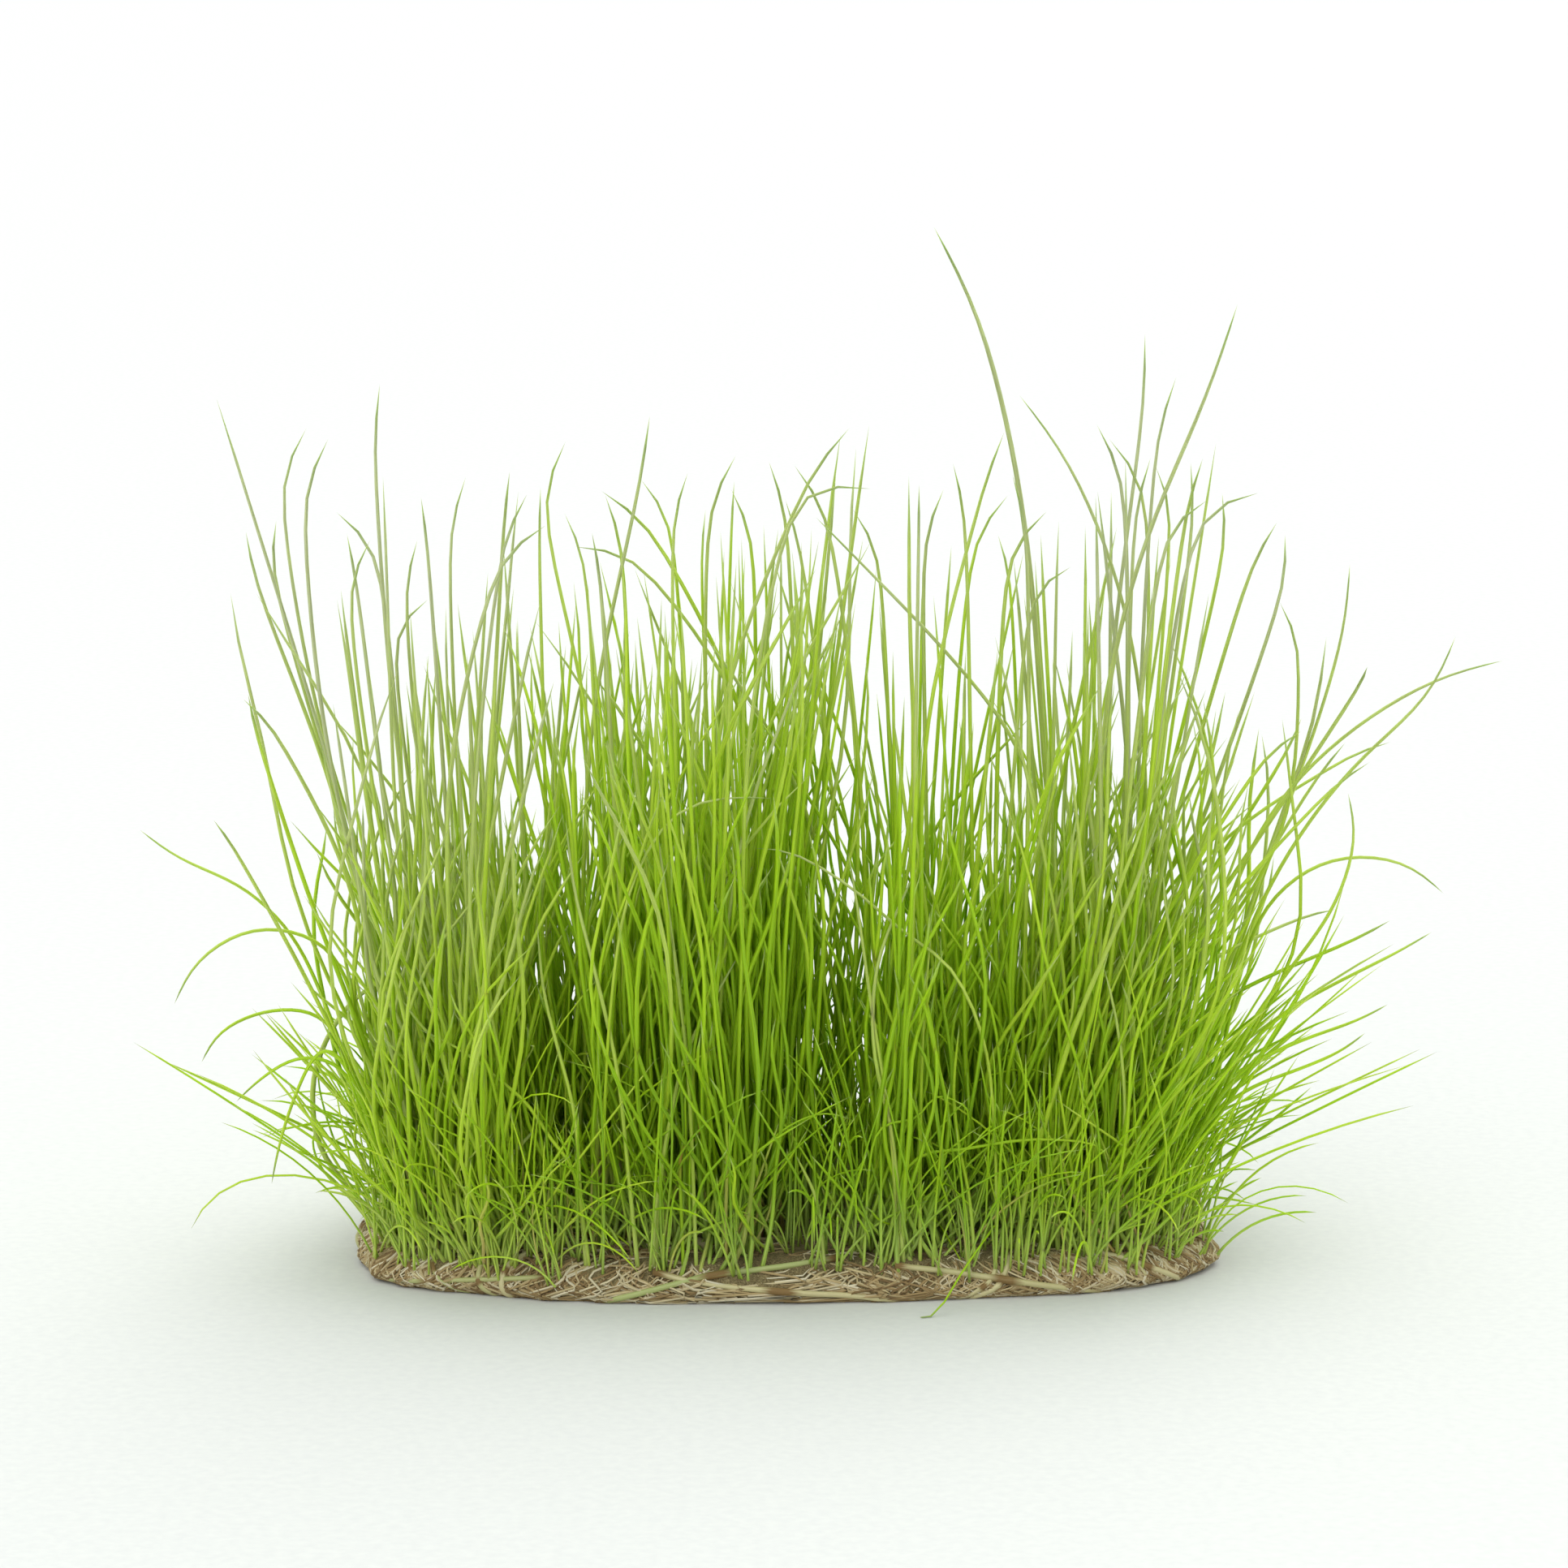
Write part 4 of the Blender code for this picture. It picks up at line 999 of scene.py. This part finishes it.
# The stems that reach out alone
# Older, longer stems of the same kind at the edge of the tuft. Each is a little thicker than the rest and
# grows from a foot of its own on the mat.
LONE_SIDES = 8
LONE_POINTS = 40
LONE_RADIUS = {"tallest_stem": 0.29, "left_reaching_stem": 0.19, "tall_right_stem": 0.24}
USUAL_LONE_RADIUS = 0.2
LONE_TAPER = ((0.0, 1.5), (0.05, 1.2), (0.14, 1.05), (0.5, 1.0), (0.85, 0.8), (0.96, 0.5), (1.0, 0.2))
LONE_TINT = 0.32
FOOT_DISC = 0.05


def lone_guide(mesh):
    """The middle line of a lone solid stem, from its foot to its tip."""
    places, neighbours = weld(mesh)
    lowest = places[:, 2].min()
    foot = {number for number, place in enumerate(places) if place[2] < lowest + FOOT_DISC}
    return walk(places, neighbours, foot, -math.inf)


for node in sorted(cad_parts):
    if node.endswith("_stem") or "_stem_" in node:
        guide = lone_guide(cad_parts[node].data)
        guide[0][2] = pad_level(guide[0][0], guide[0][1]) - FOOT_SINK
        threads = Threads(LONE_SIDES)
        radii = tapered(LONE_POINTS, LONE_RADIUS.get(node, USUAL_LONE_RADIUS), LONE_TAPER)
        threads.add(eased(smooth_curve(guide, LONE_POINTS), EASING_ROUNDS), radii, LONE_TINT)
        lone = threads.finish(node + "_thread", living_stem)
        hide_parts(node)
        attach(lone, "root")


# The stems at the front
# Single stems that stand out in front of the tuft: pale thick old ones, bright young ones that arch across,
# and one that has withered to an orange hook. Each is rooted in the mat's front edge.
NEAREST_DEPTH = -21.5
DEPTH_STEP = 0.5
FRONT_EDGE = 0.93
LEAN_BACK = 2.6
FRONT_POINTS = 24
FRONT_EASING_ROUNDS = 1
FRONT_TAPER = ((0.0, 1.1), (0.2, 1.0), (0.6, 0.95), (0.85, 0.75), (0.95, 0.5), (1.0, 0.2))
FRONT_SIDES = 7
# Each stem's paleness, its radius, and its line as it is seen, in pixels of the square frame from the foot up
FRONT_STEMS = (
    (0.7, 0.247, ((518, 1543), (512, 1454), (499, 1367), (483, 1295), (455, 1208), (449, 1098), (447, 990))),
    (0.65, 0.228, (
        (552, 1530), (542, 1469), (526, 1374), (510, 1307), (491, 1256), (465, 1204), (455, 1150),
    )),
    (0.45, 0.19, ((726, 1512), (708, 1446), (680, 1406), (649, 1359), (625, 1339), (570, 1295), (516, 1268))),
    (0.7, 0.285, ((586, 1500), (603, 1454), (632, 1422), (659, 1392))),
    (0.3, 0.133, ((557, 1518), (530, 1482), (504, 1461), (460, 1438))),
    (0.25, 0.114, ((575, 1500), (587, 1462), (615, 1472), (644, 1479), (678, 1463), (711, 1463))),
    (0.2, 0.1235, ((446, 1500), (404, 1450), (385, 1408), (398, 1387), (428, 1392))),
    (0.55, 0.19, ((722, 1530), (716, 1485), (708, 1374), (684, 1280), (669, 1216), (662, 1140))),
    (0.55, 0.209, ((786, 1519), (775, 1454), (760, 1315), (728, 1177), (708, 1098), (697, 1010))),
    (0.6, 0.209, ((806, 1520), (809, 1485), (827, 1374), (850, 1287), (910, 1177))),
    (0.55, 0.19, ((858, 1510), (850, 1355), (839, 1236), (819, 1090), (806, 1000))),
    (0.3, 0.1425, ((830, 1540), (847, 1526), (907, 1496), (966, 1436), (996, 1390))),
    (0.6, 0.19, ((1016, 1520), (1007, 1482), (980, 1422))),
    (0.3, 0.152, ((1330, 1520), (1311, 1508), (1262, 1479), (1170, 1421), (1129, 1398))),
    (0.3, 0.152, ((1090, 1500), (1119, 1435), (1190, 1416), (1274, 1404), (1359, 1413), (1363, 1450))),
    (0.2, 0.133, ((1064, 1470), (1078, 1401), (1129, 1379), (1156, 1348), (1199, 1370))),
    (0.4, 0.19, ((1202, 1525), (1194, 1473), (1182, 1414), (1175, 1345), (1182, 1262))),
    (0.4, 0.1615, ((742, 1500), (748, 1300), (772, 1110), (823, 1011), (866, 987), (910, 982), (955, 984))),
    (0.5, 0.171, (
        (1228, 1500), (1226, 1400), (1212, 1280), (1170, 1189), (1123, 1157), (1055, 1098), (1000, 1062),
        (965, 1046), (930, 1045),
    )),
    (0.45, 0.266, ((1252, 1520), (1261, 1485), (1285, 1394), (1328, 1256), (1399, 1090), (1427, 1010))),
    (0.45, 0.228, ((1262, 1515), (1277, 1477), (1316, 1402), (1356, 1327), (1399, 1256))),
    (0.45, 0.19, ((1134, 1500), (1134, 1394), (1138, 1256), (1148, 1140))),
    (0.6, 0.209, ((1114, 1480), (1101, 1410), (1077, 1295), (1079, 1200), (1099, 1137), (1130, 1070))),
    (0.55, 0.19, ((1108, 1490), (1097, 1390), (1075, 1248), (1057, 1121), (1045, 1050))),
    (0.45, 0.19, ((634, 1530), (628, 1420), (612, 1300), (600, 1180), (602, 1080))),
    (0.4, 0.171, ((1344, 1510), (1352, 1440), (1338, 1330), (1362, 1240), (1402, 1150))),
    (0.15, 0.1235, ((905, 1510), (915, 1460), (955, 1400), (1010, 1372), (1052, 1380))),
    (0.15, 0.114, ((468, 1520), (440, 1460), (410, 1400), (392, 1330), (400, 1290))),
    (0.65, 0.285, ((450, 1500), (400, 1425), (385, 1360), (394, 1300), (432, 1236), (496, 1190))),
)
WITHERED_RADIUS = 0.17
WITHERED_LINE = ((842, 1500), (838, 1450), (840, 1418), (850, 1408), (860, 1402), (863, 1390), (858, 1382))
WITHERED_COLOURS = ((0.35, "#8A6A2C"), (0.6, "#B98A3A"), (0.8, "#D6B466"))
WITHERS_FROM = (0.55, 0.75)
WITHERED_BANDS_A_MM = 0.42
WITHERED_RELIEF = 0.05


def seen_at(pixel, depth):
    """The place at this depth that the eye sees at this pixel of the square frame."""
    across = (pixel[0] - PHOTO_PIXELS / 2.0) * PIXEL_SIZE / EYE_DISTANCE
    up = (PHOTO_PIXELS / 2.0 - pixel[1]) * PIXEL_SIZE / EYE_DISTANCE
    upwards = Vector((0.0, math.sin(EYE_ELEVATION), math.cos(EYE_ELEVATION)))
    ray = Vector((across, 0.0, 0.0)) + upwards * up - backwards
    return eye_place + ray * ((depth - eye_place.y) / ray.y)


def rooting_depth(pixel):
    """The nearest depth at which a foot seen at this pixel stands on the mat."""
    for depth in np.arange(NEAREST_DEPTH, 0.0, DEPTH_STEP):
        place = seen_at(pixel, depth)
        if edge_share(place.x, place.y) < FRONT_EDGE:
            break
    return depth


def front_line(pixels):
    """A line through the places seen, rooted in the mat and leaning back a little towards its tip."""
    nearest = rooting_depth(pixels[0])
    depths = np.linspace(nearest, nearest + LEAN_BACK, len(pixels))
    places = np.array([seen_at(pixel, depth) for pixel, depth in zip(pixels, depths)])
    places[0][:2] *= min(1.0, FURTHEST_FOOT / edge_share(places[0][0], places[0][1]))
    places[0][2] = pad_level(places[0][0], places[0][1]) - FOOT_SINK
    return kept_above(eased(smooth_curve(places, FRONT_POINTS), FRONT_EASING_ROUNDS))


def withered_skin():
    """Withered stem: still green below, and above it shrunk, dull and fibrous, orange brown in bands."""
    material, tree, shader = new_material("withered_skin")
    grain = add_node(tree, "ShaderNodeAttribute", {"attribute_name": "grain"})
    bands = add_node(
        tree, "ShaderNodeTexNoise", {"Scale": WITHERED_BANDS_A_MM / GRAIN_STRETCH, "Detail": 4.0},
        [("Vector", grain.outputs["Vector"])],
    )
    colour = add_node(tree, "ShaderNodeValToRGB", {}, [("Fac", bands.outputs["Fac"])], WITHERED_COLOURS)
    share = add_node(tree, "ShaderNodeAttribute", {"attribute_name": "share"})
    withered = add_node(
        tree, "ShaderNodeMapRange", {"From Min": WITHERS_FROM[0], "From Max": WITHERS_FROM[1]},
        [("Value", share.outputs["Fac"])],
    )
    dying = add_node(
        tree, "ShaderNodeMix", {"data_type": "RGBA", 6: linear(STEM_TINTS_AND_PAINTED_LIGHT[1][1])},
        [(0, withered.outputs["Result"]), (7, colour.outputs["Color"])],
    )
    bump = add_node(
        tree, "ShaderNodeBump", {"Strength": 0.8, "Distance": WITHERED_RELIEF * MM},
        [("Height", bands.outputs["Fac"])],
    )
    tree.links.new(dying.outputs[2], shader.inputs["Base Color"])
    tree.links.new(bump.outputs["Normal"], shader.inputs["Normal"])
    shader.inputs["Roughness"].default_value = 0.7
    return material


threads = Threads(FRONT_SIDES)
for tint, radius, pixels in FRONT_STEMS:
    threads.add(front_line(pixels), tapered(FRONT_POINTS, radius, FRONT_TAPER), tint)
front_stems = threads.finish("front_stems", living_stem)
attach(front_stems, "root")

threads = Threads(FRONT_SIDES)
threads.add(front_line(WITHERED_LINE), tapered(FRONT_POINTS, WITHERED_RADIUS, FRONT_TAPER), 0.0)
withered_stem = threads.finish("withered_stem", withered_skin())
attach(withered_stem, "root")


# The stage
# A pale matt table under an even white sky, with a broad soft light above and behind the plant so that its
# stems glow as they do in the photograph.
TABLE_RADIUS = 6000.0
TABLE_POINTS = 96
TABLE_GRAIN = 1.1
TABLE_COLOURS = ((0.3, "#D2D4D1"), (0.7, "#D7D9D5"))
# Each light's name, the way to it, its strength, and how many degrees of the sky it fills
LIGHTS = (
    ("broad_light_above", (0.1, 0.35, 1.0), 1.4, 70.0),
    ("low_light_behind", (0.35, 1.0, 0.45), 0.8, 40.0),
    ("soft_front_light", (-0.45, -1.0, 0.8), 0.75, 60.0),
)
SKY_COLOUR = "#F8FBFB"
SKY_STRENGTH = 0.88


def painted_table():
    """Matt pale paint: nearly white, with a faint uneven grain."""
    material, tree, shader = new_material("matt_pale_paint")
    place = add_node(tree, "ShaderNodeTexCoord", {})
    grain = add_node(
        tree, "ShaderNodeTexNoise", {"Scale": 1.0 / (TABLE_GRAIN * MM), "Detail": 2.0},
        [("Vector", place.outputs["Object"])],
    )
    colour = add_node(tree, "ShaderNodeValToRGB", {}, [("Fac", grain.outputs["Fac"])], TABLE_COLOURS)
    tree.links.new(colour.outputs["Color"], shader.inputs["Base Color"])
    shader.inputs["Roughness"].default_value = 0.95
    shader.inputs["Specular IOR Level"].default_value = 0.1
    return material


turns = [math.tau * number / TABLE_POINTS for number in range(TABLE_POINTS)]
table_mesh = bpy.data.meshes.new("table")
table_mesh.from_pydata(
    [(TABLE_RADIUS * MM * math.cos(turn), TABLE_RADIUS * MM * math.sin(turn), 0.0) for turn in turns],
    [], [tuple(range(TABLE_POINTS))],
)
table_mesh.materials.append(painted_table())
table = new_object("table", table_mesh)

for name, towards, strength, degrees in LIGHTS:
    lamp = bpy.data.lights.new(name, "SUN")
    lamp.energy = strength
    lamp.angle = math.radians(degrees)
    light = new_object(name, lamp)
    light.rotation_euler = Vector(towards).to_track_quat("Z", "Y").to_euler()

sky = bpy.data.worlds.new("soft_white_sky")
sky.use_nodes = True
sky.node_tree.nodes["Background"].inputs["Color"].default_value = linear(SKY_COLOUR)
sky.node_tree.nodes["Background"].inputs["Strength"].default_value = SKY_STRENGTH
bpy.context.scene.world = sky
bpy.context.scene.view_settings.view_transform = "Standard"
